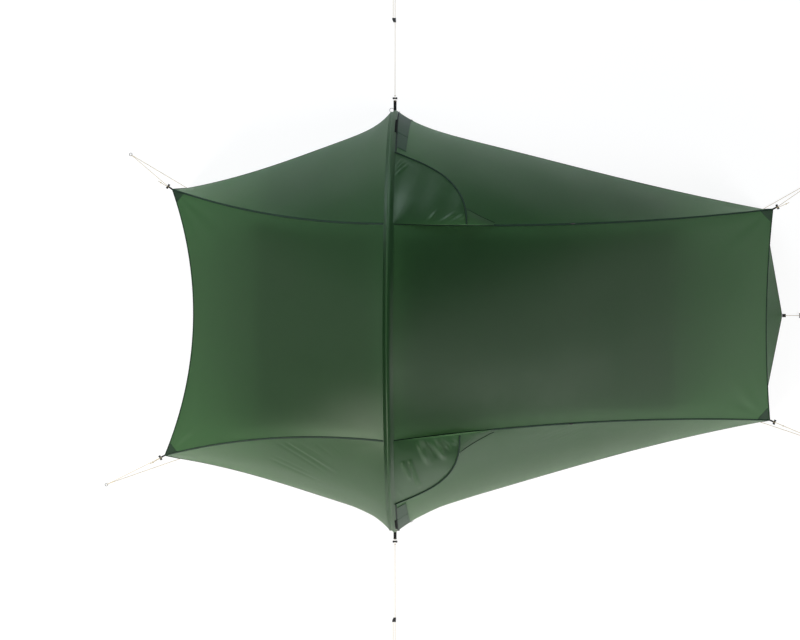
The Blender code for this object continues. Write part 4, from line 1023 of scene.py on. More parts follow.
# Each finish: what makes it, its colour, and further values. A colour is three numbers, or the
# name of the setting that holds it.
FINISHES = {
    "Fly cloth": (cloth_material, "fly", {"glow": "glow", "share": 0.36, "sheen": 0.15}),
    # The end walls' cloth is the fly cloth with less sheen, gloss and light through it: a dimmer copy
    # that paints shade on the walls.
    "Wall cloth": (cloth_material, "fly",
                   {"glow": "glow", "share": 0.30, "sheen": 0.03, "gloss": 0.05}),
    "Sleeve cloth": (cloth_material, "fly", {"glow": "glow", "share": 0.36, "sheen": 0.15}),
    "Patch cloth": (cloth_material, "patch", {"glow": "glow", "share": 0.22, "rough": 0.45}),
    "Inner cloth": (cloth_material, "inner",
                    {"glow": "inner", "share": 0.35, "thread": 0.0006, "grid": 0.0045,
                     "rough": 0.7}),
    "Floor cloth": (cloth_material, "floor", {"thread": 0.0007, "rough": 0.5}),
    "Net": (net_material, "net", {}),
    "Binding": (webbing_material, "binding", {}),
    "Thread": (webbing_material, "thread", {"pitch": 0.0008}),
    "Black webbing": (webbing_material, (0.012, 0.012, 0.012), {}),
    "Zip tape": (webbing_material, (0.007, 0.016, 0.010), {"pitch": 0.0016}),
    # Nearly black and dull: the zip covers by the arch's feet, whose colour also paints the shadow in
    # the slit there.
    "Zip cover": (webbing_material, (0.003, 0.004, 0.0035),
                  {"pitch": 0.0016, "rough": 0.7, "gloss": 0.03}),
    "Guyline cord": (cord_material, "cord", {}),
    "Elastic cord": (cord_material, (0.02, 0.02, 0.02), {}),
    "Zip coil": (hard_material, "plastic",
                 {"metallic": 0.0, "rough": 0.4, "wear": (0.03, 0.03, 0.03)}),
    "Black plastic": (hard_material, "plastic",
                      {"metallic": 0.0, "rough": 0.42, "wear": (0.05, 0.05, 0.05)}),
    "Painted metal": (hard_material, (0.03, 0.03, 0.032),
                      {"metallic": 0.7, "rough": 0.36, "wear": (0.30, 0.30, 0.30)}),
    "Anodised tube": (hard_material, "metal",
                      {"metallic": 1.0, "rough": 0.30, "wear": (0.75, 0.75, 0.76),
                       "size": 0.003}),
    "Ring metal": (hard_material, (0.16, 0.165, 0.165),
                   {"metallic": 0.9, "rough": 0.34, "wear": (0.40, 0.40, 0.40)}),
}


def colour_of(value):
    """A colour's three numbers, from the setting of that name where it is one."""
    if not isinstance(value, str):
        return value
    cloth, guys = bpy.context.scene.tent_cloth, bpy.context.scene.tent_guylines
    return tuple(getattr(cloth if hasattr(cloth, value) else guys, value))


def finish_of(name):
    """A material by its name, made when it is first needed."""
    found = bpy.data.materials.get(name)
    if found:
        return found
    maker, colour, values = FINISHES[name]
    if "glow" in values:
        values = {**values, "glow": colour_of(values["glow"])}
    return maker(name, colour_of(colour), **values)


def repeat_tree():
    """Geometry nodes: a small rounded shape repeated along a path, upright on its surface."""
    name = "Repeat along path"
    found = bpy.data.node_groups.get(name)
    if found:
        return found
    group = bpy.data.node_groups.new(name, "GeometryNodeTree")
    sockets = [("Geometry", "INPUT", "Geometry")]
    sockets += [(label, "INPUT", "Float") for label in ("Pitch", "Length", "Width", "Height")]
    sockets += [("Material", "INPUT", "Material"), ("Geometry", "OUTPUT", "Geometry")]
    for label, way, kind in sockets:
        group.interface.new_socket(label, in_out=way, socket_type="NodeSocket" + kind)
    given = added(group, "NodeGroupInput").outputs
    curve = added(group, "GeometryNodeMeshToCurve", {0: given["Geometry"]})
    spaced = added(group, "GeometryNodeResampleCurve",
                   {"Curve": curve.outputs[0], "Length": given["Pitch"]}, mode="LENGTH")
    points = added(group, "GeometryNodeCurveToPoints", {0: spaced.outputs[0]},
                   mode="EVALUATED").outputs
    out = added(group, "GeometryNodeInputNamedAttribute", {"Name": "Out"},
                data_type="FLOAT_VECTOR")
    lengthways = added(group, "FunctionNodeAlignRotationToVector",
                       {"Vector": points["Tangent"]}, axis="X")
    upright = added(group, "FunctionNodeAlignRotationToVector",
                    {"Rotation": lengthways.outputs[0], "Vector": out.outputs["Attribute"]},
                    axis="Z", pivot_axis="X")
    bead = added(group, "GeometryNodeMeshUVSphere", {"Segments": 5, "Rings": 3, "Radius": 0.5})
    size = node(group, "CombineXYZ",
                {"X": given["Length"], "Y": given["Width"], "Z": given["Height"]})
    shape = added(group, "GeometryNodeTransform",
                  {"Geometry": bead.outputs[0], "Scale": size.outputs[0]})
    placed = added(group, "GeometryNodeInstanceOnPoints",
                   {"Points": points["Points"], "Rotation": upright.outputs[0],
                    "Instance": shape.outputs[0]})
    real = added(group, "GeometryNodeRealizeInstances", {0: placed.outputs[0]})
    finish = added(group, "GeometryNodeSetMaterial",
                   {"Geometry": real.outputs[0], "Material": given["Material"]})
    added(group, "NodeGroupOutput", {0: finish.outputs[0]})
    return group


def repeated(name, lines, pitch, size, material):
    """Repeat a bead of a size along lines of (points, outward normals), as one plain mesh."""
    verts, edges, outs = [], [], []
    for points, normals in lines:
        start = len(verts)
        verts += [tuple(p) for p in points]
        outs += [tuple(n) for n in normals]
        edges += [(start + i, start + i + 1) for i in range(len(points) - 1)]
    mesh = bpy.data.meshes.new(name)
    mesh.from_pydata(verts, edges, [])
    attribute = mesh.attributes.new("Out", "FLOAT_VECTOR", "POINT")
    attribute.data.foreach_set("vector", np.array(outs, float).ravel())
    path = bpy.data.objects.new(name + "_path", mesh)
    bpy.context.scene.collection.objects.link(path)
    modifier = path.modifiers.new("Repeat", "NODES")
    modifier.node_group = repeat_tree()
    values = {"Pitch": pitch, "Length": size[0], "Width": size[1], "Height": size[2],
              "Material": material}
    for item in modifier.node_group.interface.items_tree:
        if item.in_out == "INPUT" and item.name in values:
            modifier[item.identifier] = values[item.name]
    evaluated = path.evaluated_get(bpy.context.evaluated_depsgraph_get())
    result = bpy.data.meshes.new_from_object(evaluated)
    path.modifiers.remove(modifier)
    bpy.data.objects.remove(path)
    if not result.polygons:
        raise RuntimeError(f"{name}: nothing was repeated along its path")
    result.name = name
    result.shade_smooth()
    made = bpy.data.objects.new(name, result)
    bpy.context.scene.collection.objects.link(made)
    return made


def stitched(name, lines, body, slot, pitch=None, length=None):
    """Rows of stitches along lines of (points, normals), on their body."""
    stitch = bpy.context.scene.tent_stitches
    size = (length or stitch.length, stitch.thickness, stitch.thickness)
    made = repeated(f"stitches_{name}", lines, pitch or stitch.pitch, size, finish_of("Thread"))
    settled(made, body, slot=slot)


def offset_line(points, normals, sideways, up):
    """A line moved sideways in its surface and up off it, with the same normals."""
    _, side, normal = line_frames(np.asarray(points), np.asarray(normals))
    return points + side * sideways + normal * up, normal


def sampled(curve, count, start=0.0, stop=1.0):
    """Points of a curve function between two shares of it."""
    return np.array([curve(t)[:] for t in np.linspace(start, stop, count)])


def panel_normals(place, pairs):
    """A panel's outward normals at (u, v) pairs."""
    return np.array([normal_of(place, u, v)[:] for u, v in pairs])


def unit_rows(rows):
    """Each row of an array, made one long."""
    return rows / np.linalg.norm(rows, axis=1, keepdims=True)


def draped(name, place, size, corners, wave, node_name, finish="Fly cloth",
           out=(0.0, 0.0, 1.0), creases=()):
    """A cloth panel with slow waves, folds that fan out of its corners, and creases."""
    points, a, b = grid_points(place, *size)
    relief = waves(points, *wave) + tension(a, b, corners) + creased(points, creases)
    points += grid_normals(points, out) * (relief * inward_fade(a, b))[..., None]
    piece = grid_mesh(name, points, finish_of(finish), out)
    settled(piece, "tent", node_name, slot="fly")


def roof_cloth(end_name):
    """One half of the roof, with the folds that fan out of its corners."""
    lengths, seed, cut = ROOFS[end_name]
    corners = [(1.0, side, *lengths, 0.0022, 5) for side in (0.0, 1.0)]
    corners += [(0.0, side, *lengths, 0.0006, 4) for side in (0.0, 1.0)]
    draped(f"cloth_roof_{end_name}", roof_panel(ENDS[end_name]), (120, 100), corners,
           (bpy.context.scene.tent_cloth.slack, 0.55, seed), f"roof_{end_name}")


def head_side_cloth(side_name):
    """A side panel at the head, with the creases that the photograph shows."""
    side = SIDES[side_name]
    corners = [(1.0, 0.0, 1.25, 0.33, 0.0014, 4), (1.0, 1.0, 1.25, 0.33, 0.0018, 3),
               (0.0, 1.0, 1.25, 1.1, 0.0012, 5), (0.0, 0.0, 1.25, 1.1, 0.0006, 5)]
    wave = (bpy.context.scene.tent_cloth.slack * SIDE_SLACK, 0.5, 21 + int(side))
    draped(f"cloth_side_head_{side_name}", side_panel(-1.0, side), (150, 120), corners, wave,
           f"side_panel_head_{side_name}", out=(0.0, side, 0.7),
           creases=HEAD_RIGHT_CREASES if side < 0 else ())


def foot_side_cloth(side_name):
    """The foot-side panel in one cloth: the fixed rear and the door, joined along the door's fold
    line.
    """
    side = SIDES[side_name]
    slack = bpy.context.scene.tent_cloth.slack * SIDE_SLACK
    panel = side_panel(1.0, side)
    out = (0.0, side, 0.7)
    parts = (("door", door_region(), 110, [(0.0, 1.0, 1.1, 0.8, 0.0016, 5)]),
             ("rear", rear_region(), 130, [(1.0, 0.0, 1.3, 0.33, 0.0016, 4),
                                           (1.0, 1.0, 1.0, 0.33, 0.0016, 3)]))
    pieces, fold = [], None
    for name, region, columns, corners in parts:
        points, a, b = grid_points(lambda p, q: panel(*region(p, q)), columns, 110)
        top, low, far = (np.clip(share * 16, 0, 1)
                         for share in (b, 1 - b, a if name == "door" else 1 - a))
        relief = waves(points, slack, 0.5, 31 + int(side))
        if side < 0:
            relief += creased(points, FOOT_RIGHT_CREASES)
        relief += tension(a, b, corners)
        points += grid_normals(points, out) * (relief * top * low * far)[..., None]
        if name == "door":
            fold = points[:, -1].copy()
        else:
            points[:, 0] = fold
        pieces.append(grid_mesh(f"{name}_{side_name}", points, finish_of("Fly cloth"), out))
    piece = joined(f"cloth_side_foot_{side_name}", pieces)
    high, middle, low = (panel(*fold_point(t)) for t in (0.0, 0.5, 1.0))
    across = normal_of(panel, *fold_point(0.5)).cross((low - high).normalized())
    if across.x < 0:
        across = -across
    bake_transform(piece)
    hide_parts(f"side_panel_foot_{side_name}", f"door_{side_name}")


def end_wall_cloth(end_name):
    """An end wall between its corners, in a dimmer copy of the fly cloth that paints shade on it."""
    end = ENDS[end_name]
    corners = [(share, 0.0, 1.3, 0.3, 0.0016, 3) for share in (0.0, 1.0)]
    draped(f"cloth_wall_{end_name}", end_wall(end), (90, 40), corners,
           (bpy.context.scene.tent_cloth.slack * 0.8, 0.4, 41 + int(end)),
           f"end_wall_{end_name}", "Wall cloth", (end, 0.0, 0.2))


class TENT_OT_fly(Operator):
    """Make the fly sheet's roof, side panels, doors and end walls."""

    bl_idname = "tent.fly"
    bl_label = "Fly sheet"

    def execute(self, context):
        for end_name in ENDS:
            roof_cloth(end_name)
        for side_name in SIDES:
            head_side_cloth(side_name)
            foot_side_cloth(side_name)
        for end_name in ENDS:
            end_wall_cloth(end_name)
        return {"FINISHED"}


def seam_line(end_name, side_name, count=70):
    """A roof seam's points and the normals between the roof and the side panel."""
    end, side = ENDS[end_name], SIDES[side_name]
    shares = np.linspace(0, 1, count)
    v = 0.0 if side > 0 else 1.0
    roof = panel_normals(roof_panel(end), [(t, v) for t in shares])
    wall = panel_normals(side_panel(end, side), [(t, 0.0) for t in shares])
    return sampled(seam(end, side), count), unit_rows(roof + wall)


def edge_line(end_name, count=60):
    """The edge between roof and end wall, and the normals between them."""
    end = ENDS[end_name]
    shares = np.linspace(0, 1, count)
    roof = panel_normals(roof_panel(end), [(1.0, t) for t in shares])
    wall = panel_normals(end_wall(end), [(t, 0.0) for t in shares])
    wall *= np.sign(wall[:, :1] * end)
    return sampled(roof_edge(end), count), unit_rows(roof + wall)


def hem_line(end_name, side_name, start, stop, count=60):
    """A side panel's hem between two shares of it, with the panel's normals."""
    end, side = ENDS[end_name], SIDES[side_name]
    shares = np.linspace(start, stop, count)
    return (sampled(hem(end, side), count, start, stop),
            panel_normals(side_panel(end, side), [(t, 1.0) for t in shares]))


def wall_hem_line(end_name, count=50):
    """An end wall's hem and the wall's normals."""
    end = ENDS[end_name]
    normals = panel_normals(end_wall(end), [(t, 1.0) for t in np.linspace(0, 1, count)])
    normals *= np.sign(normals[:, :1] * end)
    return sampled(wall_hem(end), count), normals


def corner_line(end_name, side_name, count=16):
    """The upright seam at a corner, with a normal that faces away from the tent."""
    end, side = ENDS[end_name], SIDES[side_name]
    curve = drawn(corner(end, side, True), corner(end, side, False), Vector())
    normal = np.array([end, side, 0.15]) / math.sqrt(2.02)
    return sampled(curve, count), np.tile(normal, (count, 1))


def seam_piece(name, line, body="tent", width=None, rows=1):
    """A felled seam along a line: its strip and its rows of stitches, both on a body."""
    cloth = bpy.context.scene.tent_cloth
    width = width or cloth.seam_width
    strip(f"seam_{name}", line, (width, cloth.seam_height), "Binding", body, "fly")
    high = cloth.seam_height * STITCH_HEIGHT
    sides = [width * (row - (rows - 1) / 2) * 0.5 for row in range(rows)]
    stitched(name, [offset_line(*line, sideways, high) for sideways in sides], body, "fly")


class TENT_OT_seams(Operator):
    """Sew the fly sheet's seams and bind its hems."""

    bl_idname = "tent.seams"
    bl_label = "Seams and hems"

    def execute(self, context):
        hem_width = context.scene.tent_cloth.hem_width
        for end_name in ENDS:
            for side_name in SIDES:
                place = f"{end_name}_{side_name}"
                seam_piece(f"roof_{place}", seam_line(end_name, side_name), rows=2)
                seam_piece(f"corner_{place}", corner_line(end_name, side_name),
                           width=CORNER_SEAM_WIDTH)
            seam_piece(f"edge_{end_name}", edge_line(end_name), width=EDGE_SEAM_WIDTH)
            seam_piece(f"wall_hem_{end_name}", wall_hem_line(end_name), width=hem_width)
        split = fold_point(1.0)[0]
        for side_name in SIDES:
            for name, end_name, start, stop, body in (
                    ("head", "head", 0.0, 1.0, "tent"), ("foot", "foot", split, 1.0, "tent"),
                    ("door", "foot", 0.0, split, f"door_{side_name}")):
                seam_piece(f"hem_{name}_{side_name}",
                           hem_line(end_name, side_name, start, stop), body, hem_width)
        return {"FINISHED"}


def arch_line(start, stop, x, rise, side=1.0, count=150):
    """A line beside the arch between two angles, with its radial normals."""
    angles = np.linspace(start, stop, count)
    points = np.array([mirrored(arch_point(t, x, rise), side)[:] for t in angles])
    normals = points - np.array([0.0, 0.0, ARCH_CENTRE_Z])
    normals[:, 0] = 0.0
    return points, unit_rows(normals)


def thin_outline(line, thickness):
    """A closed outline round an open line of points, for a thin cloth."""
    rise = thickness / 2
    return [(x, y + rise) for x, y in line] + [(x, y - rise) for x, y in reversed(line)]


def sleeve_outline():
    """The sleeve's cross-section: a flange each side of the pole's round channel."""
    half = CLOTH / 2
    lip = math.radians(8.0)
    turns = np.linspace(lip, math.pi - lip, 15)
    crown = [(SLEEVE_CROWN * math.cos(t), SLEEVE_CROWN * math.sin(t)) for t in turns]
    fillet = [(SLEEVE_CROWN + 0.0022, half + 0.0002)]
    other = [(-x, y) for x, y in fillet]
    top = [(SLEEVE_FLANGE, half)] + fillet + crown + other + [(-SLEEVE_FLANGE, half)]
    return top + [(x, -y) for x, y in reversed(top)]


class TENT_OT_sleeve(Operator):
    """Make the pole sleeve with the seams along its flanges."""

    bl_idname = "tent.sleeve"
    bl_label = "Pole sleeve"

    def execute(self, context):
        end = height_angle(SLEEVE_END_Z)
        points, normals = arch_line(-end, end, 0.0, 0.0, count=260)
        sleeve = swept("cloth_sleeve", points, sleeve_outline(), finish_of("Sleeve cloth"),
                       normals)
        settled(sleeve, "tent", "pole_sleeve", slot="trim")
        stitched("sleeve", [arch_line(-end, end, x, CLOTH / 2 + 0.0003, count=260)
                            for x in SLEEVE_STITCHES], "tent", "trim")
        strip("seam_sleeve_head", arch_line(-end, end, -PANEL_X, CLOTH / 2, count=260),
              (0.0045, 0.0006), "Sleeve cloth", "tent", "trim")
        crest = arch_line(-SEAM_ANGLE, SEAM_ANGLE, 0.0100, CLOTH / 2, count=160)
        strip("seam_sleeve_foot", crest, (0.0040, 0.0012), "Binding", "tent", "trim")
        cover = swept("cloth_sleeve_cover", points, thin_outline(SLEEVE_COVER, 0.0008),
                      finish_of("Fly cloth"), normals)
        settled(cover, "tent", slot="trim")
        for side_name, side in SIDES.items():
            # Near-black zip covers, which also paint the slit's shadow beside the arch's foot.
            strip(f"zip_garage_{side_name}",
                  arch_line(*ZIP_GARAGE, PANEL_X, 0.0042, side, 24), (0.013, 0.0022),
                  "Zip cover", "tent", "trim")
        return {"FINISHED"}


def slider_piece(side_name):
    """A zip slider with its rounded body and the puller that lies down the zip."""
    side = SIDES[side_name]
    x = SLEEVE_FLANGE - 0.004 - CLEARANCE
    rise = CLOTH / 2 + CLEARANCE + 0.0004
    normal = arch_line(SLIDER_ANGLE, SLIDER_ANGLE + 0.001, x, 0.0, side, 9)[1]
    oval = [(0.004 * math.cos(t), 0.0019 + 0.0019 * math.sin(t))
            for t in np.linspace(0, 2 * math.pi, 14, endpoint=False)]
    body = f"zip_slider_{side_name}"
    for name, start, stop, up, outline, scales, replaced in (
            ("body", -0.0070, 0.0070, 0.0, oval,
             [0.5, 0.82, 0.95, 1.0, 1.0, 0.92, 0.82, 0.75, 0.45], [body]),
            ("puller", 0.0045, 0.0325, 0.0042, strip_outline(0.004, 0.0013),
             [0.5, 0.8, 0.75, 0.7, 0.75, 0.85, 0.95, 1.0, 1.0, 0.9, 0.5], []),
            ("bridge", -0.0035, 0.0045, 0.0036, circle(0.0007, 8), [1.0] * 7, [])):
        steps = SLIDER_ANGLE + np.linspace(start, stop, len(scales)) / ARCH_RADIUS
        points = [mirrored(arch_point(t, x, rise + up), side)[:] for t in steps]
        ways = normal if name == "body" else np.tile(normal[0], (len(scales), 1))
        made = swept(f"slider_{name}_{side_name}", points, outline, finish_of("Painted metal"),
                     ways, scales)
        settled(made, body, *replaced, slot="zip")


class TENT_OT_zips(Operator):
    """Make the door zips: tapes, coils, the doors' zipped edges and the sliders."""

    bl_idname = "tent.zips"
    bl_label = "Door zips"

    def execute(self, context):
        end = height_angle(SLEEVE_END_Z)
        top = CLOTH / 2
        for side_name, side in SIDES.items():
            strip(f"zip_tape_{side_name}", arch_line(SEAM_ANGLE, end, 0.0145, top, side),
                  (0.0125, 0.0006), "Zip tape", "tent", "zip")
            coil = arch_line(SEAM_ANGLE, end - 0.01, 0.0157, top + 0.0007, side)
            teeth = repeated(f"zip_coil_{side_name}", [coil], ZIP_PITCH,
                             (0.0017, 0.0052, 0.0013), finish_of("Zip coil"))
            settled(teeth, "tent", slot="zip")
            edge = arch_line(SEAM_ANGLE + VENT_ANGLE, end, PANEL_X + 0.0055, top, side)
            strip(f"door_zip_edge_{side_name}", edge, (0.0095, 0.0010), "Zip tape",
                  f"door_{side_name}", "zip")
            slider_piece(side_name)
        return {"FINISHED"}


def hood_points(side_name, columns=70, rows=70):
    """The hood's surface as a grid, with its soft folds."""
    side = SIDES[side_name]
    panel = side_panel(1.0, side)
    length_share, depth_share, roundness = HOOD_SHAPE[side_name]
    along, down = vent_size()
    along, down = along * length_share, down * depth_share

    def mouth(t):
        angle = math.pi / 2 * (1 - t)
        return (along * max(math.cos(angle), 0.0) ** roundness,
                down * max(math.sin(angle), 0.0) ** roundness)

    region = quarter_region(mouth, along, down)

    def place(p, q):
        u, v = region(p, q)
        return panel(u, v) + Vector((0.0, 0.0, hood_lift(u, v)))

    points, a, b = grid_points(place, columns, rows)
    creases = HOOD_LEFT_CREASES if side > 0 else HOOD_RIGHT_CREASES
    fade = np.clip(np.minimum(a * 12, b * 8), 0, 1) * np.clip((1.04 - np.maximum(a, b)) * 10, 0.35, 1)
    relief = creased(points, creases) + waves(points, 0.0022, 0.22, 51 + int(side))
    points += grid_normals(points, (0.0, side, 0.9)) * (relief * fade)[..., None]
    return points


class TENT_OT_vents(Operator):
    """Make the vents: mesh, hoods with piped mouths, and gussets."""

    bl_idname = "tent.vents"
    bl_label = "Vents"

    def execute(self, context):
        for side_name, side in SIDES.items():
            panel = side_panel(1.0, side)
            out = (0.0, side, 0.9)
            body = f"vent_hood_{side_name}"
            points = hood_points(side_name)
            hood = grid_mesh(f"cloth_hood_{side_name}", points, finish_of("Fly cloth"), out)
            settled(hood, body, body, slot="fly")
            rim = np.vstack([points[-1], points[-2::-1, -1]])
            rim = smooth_path([Vector(p) for p in rim[::4]], 0.006)
            normal = grid_normals(points, out)[points.shape[0] // 2, points.shape[1] // 2]
            rim = rim + normal * PIPING_LIFT
            piping = swept(f"piping_{side_name}", rim, circle(0.0042, 12), finish_of("Binding"),
                           np.tile(normal, (len(rim), 1)))
            settled(piping, body, slot="fly")
            places = [vent_edge(t) for t in np.linspace(0, 1, 60)]
            edge = np.array([panel(*place)[:] for place in places])
            seam_piece(f"vent_{side_name}", (edge, panel_normals(panel, places)),
                       f"door_{side_name}", CORNER_SEAM_WIDTH)
            self.make_mesh(side_name, panel, out)
            self.make_gusset(side_name, panel, out, points)
        return {"FINISHED"}

    def make_mesh(self, side_name, panel, out):
        """The insect mesh between the door's top edge and the roof seam."""
        region = quarter_region(vent_edge, vent_tail(), vent_edge(0.0)[1])
        points, a, b = grid_points(lambda p, q: panel(*region(p, q)), 40, 40)
        sag = np.sin(math.pi * a) * np.sin(math.pi * b) * MESH_SAG
        points -= grid_normals(points, out) * sag[..., None]
        piece = grid_mesh(f"net_vent_{side_name}", points, finish_of("Net"), out)
        settled(piece, "tent", f"vent_mesh_{side_name}", slot="vent_mesh")

    def make_gusset(self, side_name, panel, out, hood):
        """The cloth that closes the hood's raised corner towards the foot."""
        rows, columns = 22, 30
        across = np.linspace(0, 1, columns)
        share = vent_tail() * 0.985
        tail = panel(share, 0.0) + normal_of(panel, vent_tail(), 0.0) * CLOTH
        down = panel(share, 0.03) - panel(share, 0.0)
        rim = hood[: int(hood.shape[0] * GUSSET_SHARE), -1]
        picks = np.linspace(0, len(rim) - 1, rows)
        near = np.array([np.interp(picks, range(len(rim)), rim[:, i]) for i in range(3)]).T
        rise = np.linspace(0, 1, rows)[:, None]
        far = np.array(tail[:]) + np.array(down[:]) * rise * 0.6
        grid = near[:, None] * (1 - across[:, None]) + far[:, None] * across[:, None]
        dip = np.sin(math.pi * across) * rise
        grid -= grid_normals(grid, out) * (dip * GUSSET_DIP)[..., None]
        piece = grid_mesh(f"cloth_gusset_{side_name}", grid, finish_of("Fly cloth"), out)
        for made in (piece, self.gusset_edge(side_name, grid, out)):
            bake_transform(made)
        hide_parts(f"vent_gusset_{side_name}")
        self.make_wall(side_name, out, np.vstack([hood[0], grid[0][1:]]))

    def make_wall(self, side_name, out, top):
        """The narrow cloth between the roof's seam and the raised edge of hood and gusset."""
        side = SIDES[side_name]
        curve, panel = seam(1.0, side), side_panel(1.0, side)
        length = FOOT_TOP_LENGTH - PANEL_X
        shares = np.clip((top[:, 0] - PANEL_X) / length, 0.0, 1.0)
        low = np.array([curve(t)[:] for t in shares])
        low += panel_normals(panel, [(t, 0.0) for t in shares]) * CLOTH
        rows = np.linspace(0, 1, 12)[:, None, None]
        grid = low[None] * (1 - rows) + top[None] * rows
        facing = grid_normals(grid, (0.0, -side, 0.9))
        swell = np.sin(math.pi * rows[..., 0]) * np.linalg.norm(top - low, axis=1)
        grid += facing * (swell * HOOD_WALL_SWELL)[..., None]
        piece = grid_mesh(f"cloth_hood_wall_{side_name}", grid, finish_of("Fly cloth"), out)
        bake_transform(piece)

    def gusset_edge(self, side_name, grid, out):
        """The piping along the gusset's lower edge."""
        facing = Vector(out).normalized()
        line = smooth_path([Vector(p) for p in grid[-1][::4]] + [Vector(grid[-1][-1])], 0.006)
        line = [point + facing * GUSSET_EDGE_LIFT for point in line]
        normals = np.tile(np.array(facing), (len(line), 1))
        return swept(f"gusset_edge_{side_name}", line, circle(0.0013, 10), finish_of("Binding"),
                     normals)


def patch_piece(name, place, body, stitch_rows, lift=0.0009):
    """A reinforcement patch on a panel: a thin doubled cloth and the stitches round it."""
    points, _, _ = grid_points(place, 26, 26)
    normals = grid_normals(points, (*points[13, 13][:2], 0.6))
    points = points + normals * lift
    piece = grid_mesh(name, points, finish_of("Patch cloth"), normals[13, 13])
    solid = piece.modifiers.new("Wall", "SOLIDIFY")
    solid.thickness = 0.0008
    solid.offset = -1.0
    settled(piece, body, slot="fly")
    lines = []
    for way, share in stitch_rows:
        pick = (slice(None), int(share * 25)) if way == "column" else int(share * 25)
        lines.append((points[pick], normals[pick]))
    stitched(name, lines, body, "fly")


class TENT_OT_patches(Operator):
    """Make the reinforcement patches at the roof's corners and the arch's feet."""

    bl_idname = "tent.patches"
    bl_label = "Reinforcement patches"

    def execute(self, context):
        for end_name, end in ENDS.items():
            for side_name, side in SIDES.items():
                self.roof_corner(f"patch_roof_{end_name}_{side_name}", end, side)
        for side_name, side in SIDES.items():
            self.arch_foot(side_name, side)
        return {"FINISHED"}

    def roof_corner(self, name, end, side):
        """A triangular patch in a corner of the roof."""
        panel = roof_panel(end)
        length = PATCH_LENGTH / (HEAD_TOP_LENGTH if end < 0 else FOOT_TOP_LENGTH)
        width = PATCH_WIDTH / (2 * (HEAD_TOP_HALF_WIDTH if end < 0 else FOOT_TOP_HALF_WIDTH))
        v_corner = 0.004 if side > 0 else 0.996

        def place(a, b):
            reach = 0.05 + 0.95 * a
            return panel(0.997 - length * reach * (1 - b), v_corner + side * width * reach * b)

        patch_piece(name, place, "tent", (("column", 0.92), ("row", 0.06), ("row", 0.94)))

    def arch_foot(self, side_name, side):
        """The patches on the door beside the arch, with a webbing tab at the hem."""
        panel = side_panel(1.0, side)
        region = door_region()
        body = f"door_{side_name}"
        for part, start, end in (("low", 0.28, 0.993), ("high", 0.06, 0.28)):

            def place(a, b):
                along = start + (end - start) * b
                return panel(*region(0.006 + (0.088 - 0.024 * along) * a, along))

            patch_piece(f"patch_arch_{part}_{side_name}", place, body,
                        (("column", 0.92), ("column", 0.08), ("row", 0.06), ("row", 0.94)),
                        0.0026)
        at = panel(*region(0.070, 0.90))
        normal = normal_of(panel, *region(0.070, 0.90))
        run = (panel(*region(0.070, 0.91)) - panel(*region(0.070, 0.88))).normalized()
        out = run.cross(normal).normalized()
        if out.x < 0:
            out = -out
        line = np.array([(at + out * (t - 0.004) + normal * (0.0034 + 0.003 * math.sin(
            math.pi * min(max(t / 0.016, 0), 1))))[:] for t in np.linspace(0, 0.020, 12)])
        strip(f"tab_arch_{side_name}", (line, np.tile(np.array(normal[:]), (12, 1))),
              (0.012, 0.0012), "Black webbing", body, "fly")


def lathe(name, profile, start, direction, material, steps=32):
    """A round piece turned from a (radius, height) profile, closed at both ends."""
    direction = Vector(direction).normalized()
    side = direction.orthogonal().normalized()
    other = direction.cross(side)
    bm = bmesh.new()
    rings = []
    for radius, height in profile:
        ring = []
        for i in range(steps):
            turn = 2 * math.pi * i / steps
            way = side * math.cos(turn) + other * math.sin(turn)
            ring.append(bm.verts.new(start + direction * height + way * max(radius, 1e-6)))
        rings.append(ring)
    for ring, follow in zip(rings, rings[1:]):
        for i in range(steps):
            j = (i + 1) % steps
            bm.faces.new((ring[i], ring[j], follow[j], follow[i]))
    bmesh.ops.remove_doubles(bm, verts=bm.verts, dist=0.00001)
    holes = [edge for edge in bm.edges if edge.is_boundary]
    if holes:
        bmesh.ops.holes_fill(bm, edges=holes)
    bmesh.ops.recalc_face_normals(bm, faces=bm.faces)
    mesh = bpy.data.meshes.new(name)
    bm.to_mesh(mesh)
    bm.free()
    mesh.shade_smooth()
    mesh.set_sharp_from_angle(angle=math.radians(40))
    return new_object(name, mesh, material)


def lock_piece(label, centre, direction):
    """A dumbbell-shaped line lock that lies across its cord."""
    cross = Vector((0, 0, 1)).cross(Vector(direction).normalized()).normalized()
    r, length = LOCK_DIAMETER / 2, LOCK_LENGTH
    half = [(0.0001, 0.0), (r * 0.62, 0.0), (r * 0.92, r * 0.12), (r, r * 0.4), (r, r * 1.05),
            (r * 0.93, r * 1.3), (LOCK_WAIST, r * 1.6), (LOCK_WAIST, length / 2)]
    profile = half + [(radius, length - height) for radius, height in reversed(half[:-1])]
    made = lathe(f"lock_{label}", profile, Vector(centre) - cross * length / 2, cross,
                 finish_of("Black plastic"), 28)
    settled(made, "tent", f"line_lock_{label}", slot="plastic")


def knot_piece(name, centre, direction):
    """A tight knot of guyline cord round its own strand."""
    direction = Vector(direction).normalized()
    side = direction.orthogonal().normalized()
    other = direction.cross(side)
    size = bpy.context.scene.tent_guylines.knot_size / 2 - CORD_DIAMETER / 2
    path = []
    for t in np.linspace(0, 2 * math.pi, 60, endpoint=False):
        x = (math.sin(t) + 2 * math.sin(2 * t)) / 3
        y = (math.cos(t) - 2 * math.cos(2 * t)) / 3
        path.append((centre + side * x * size + other * y * size
                     - direction * math.sin(3 * t) * CORD_DIAMETER * 0.62)[:])
    path = np.array(path)
    piece = swept(name, path, circle(CORD_DIAMETER / 2, 10), finish_of("Guyline cord"),
                  path - np.array(centre[:]), closed=True)
    return settled(piece, "tent", slot="cord")


def cord_piece(label, path, node_name):
    """A taut guyline as a braided tube along its path."""
    piece = swept(f"guyline_{label}", path, circle(CORD_DIAMETER / 2, 12),
                  finish_of("Guyline cord"))
    settled(piece, "tent", node_name, slot="cord")
    length = round(float(arc_lengths(path)[-1]), 3)


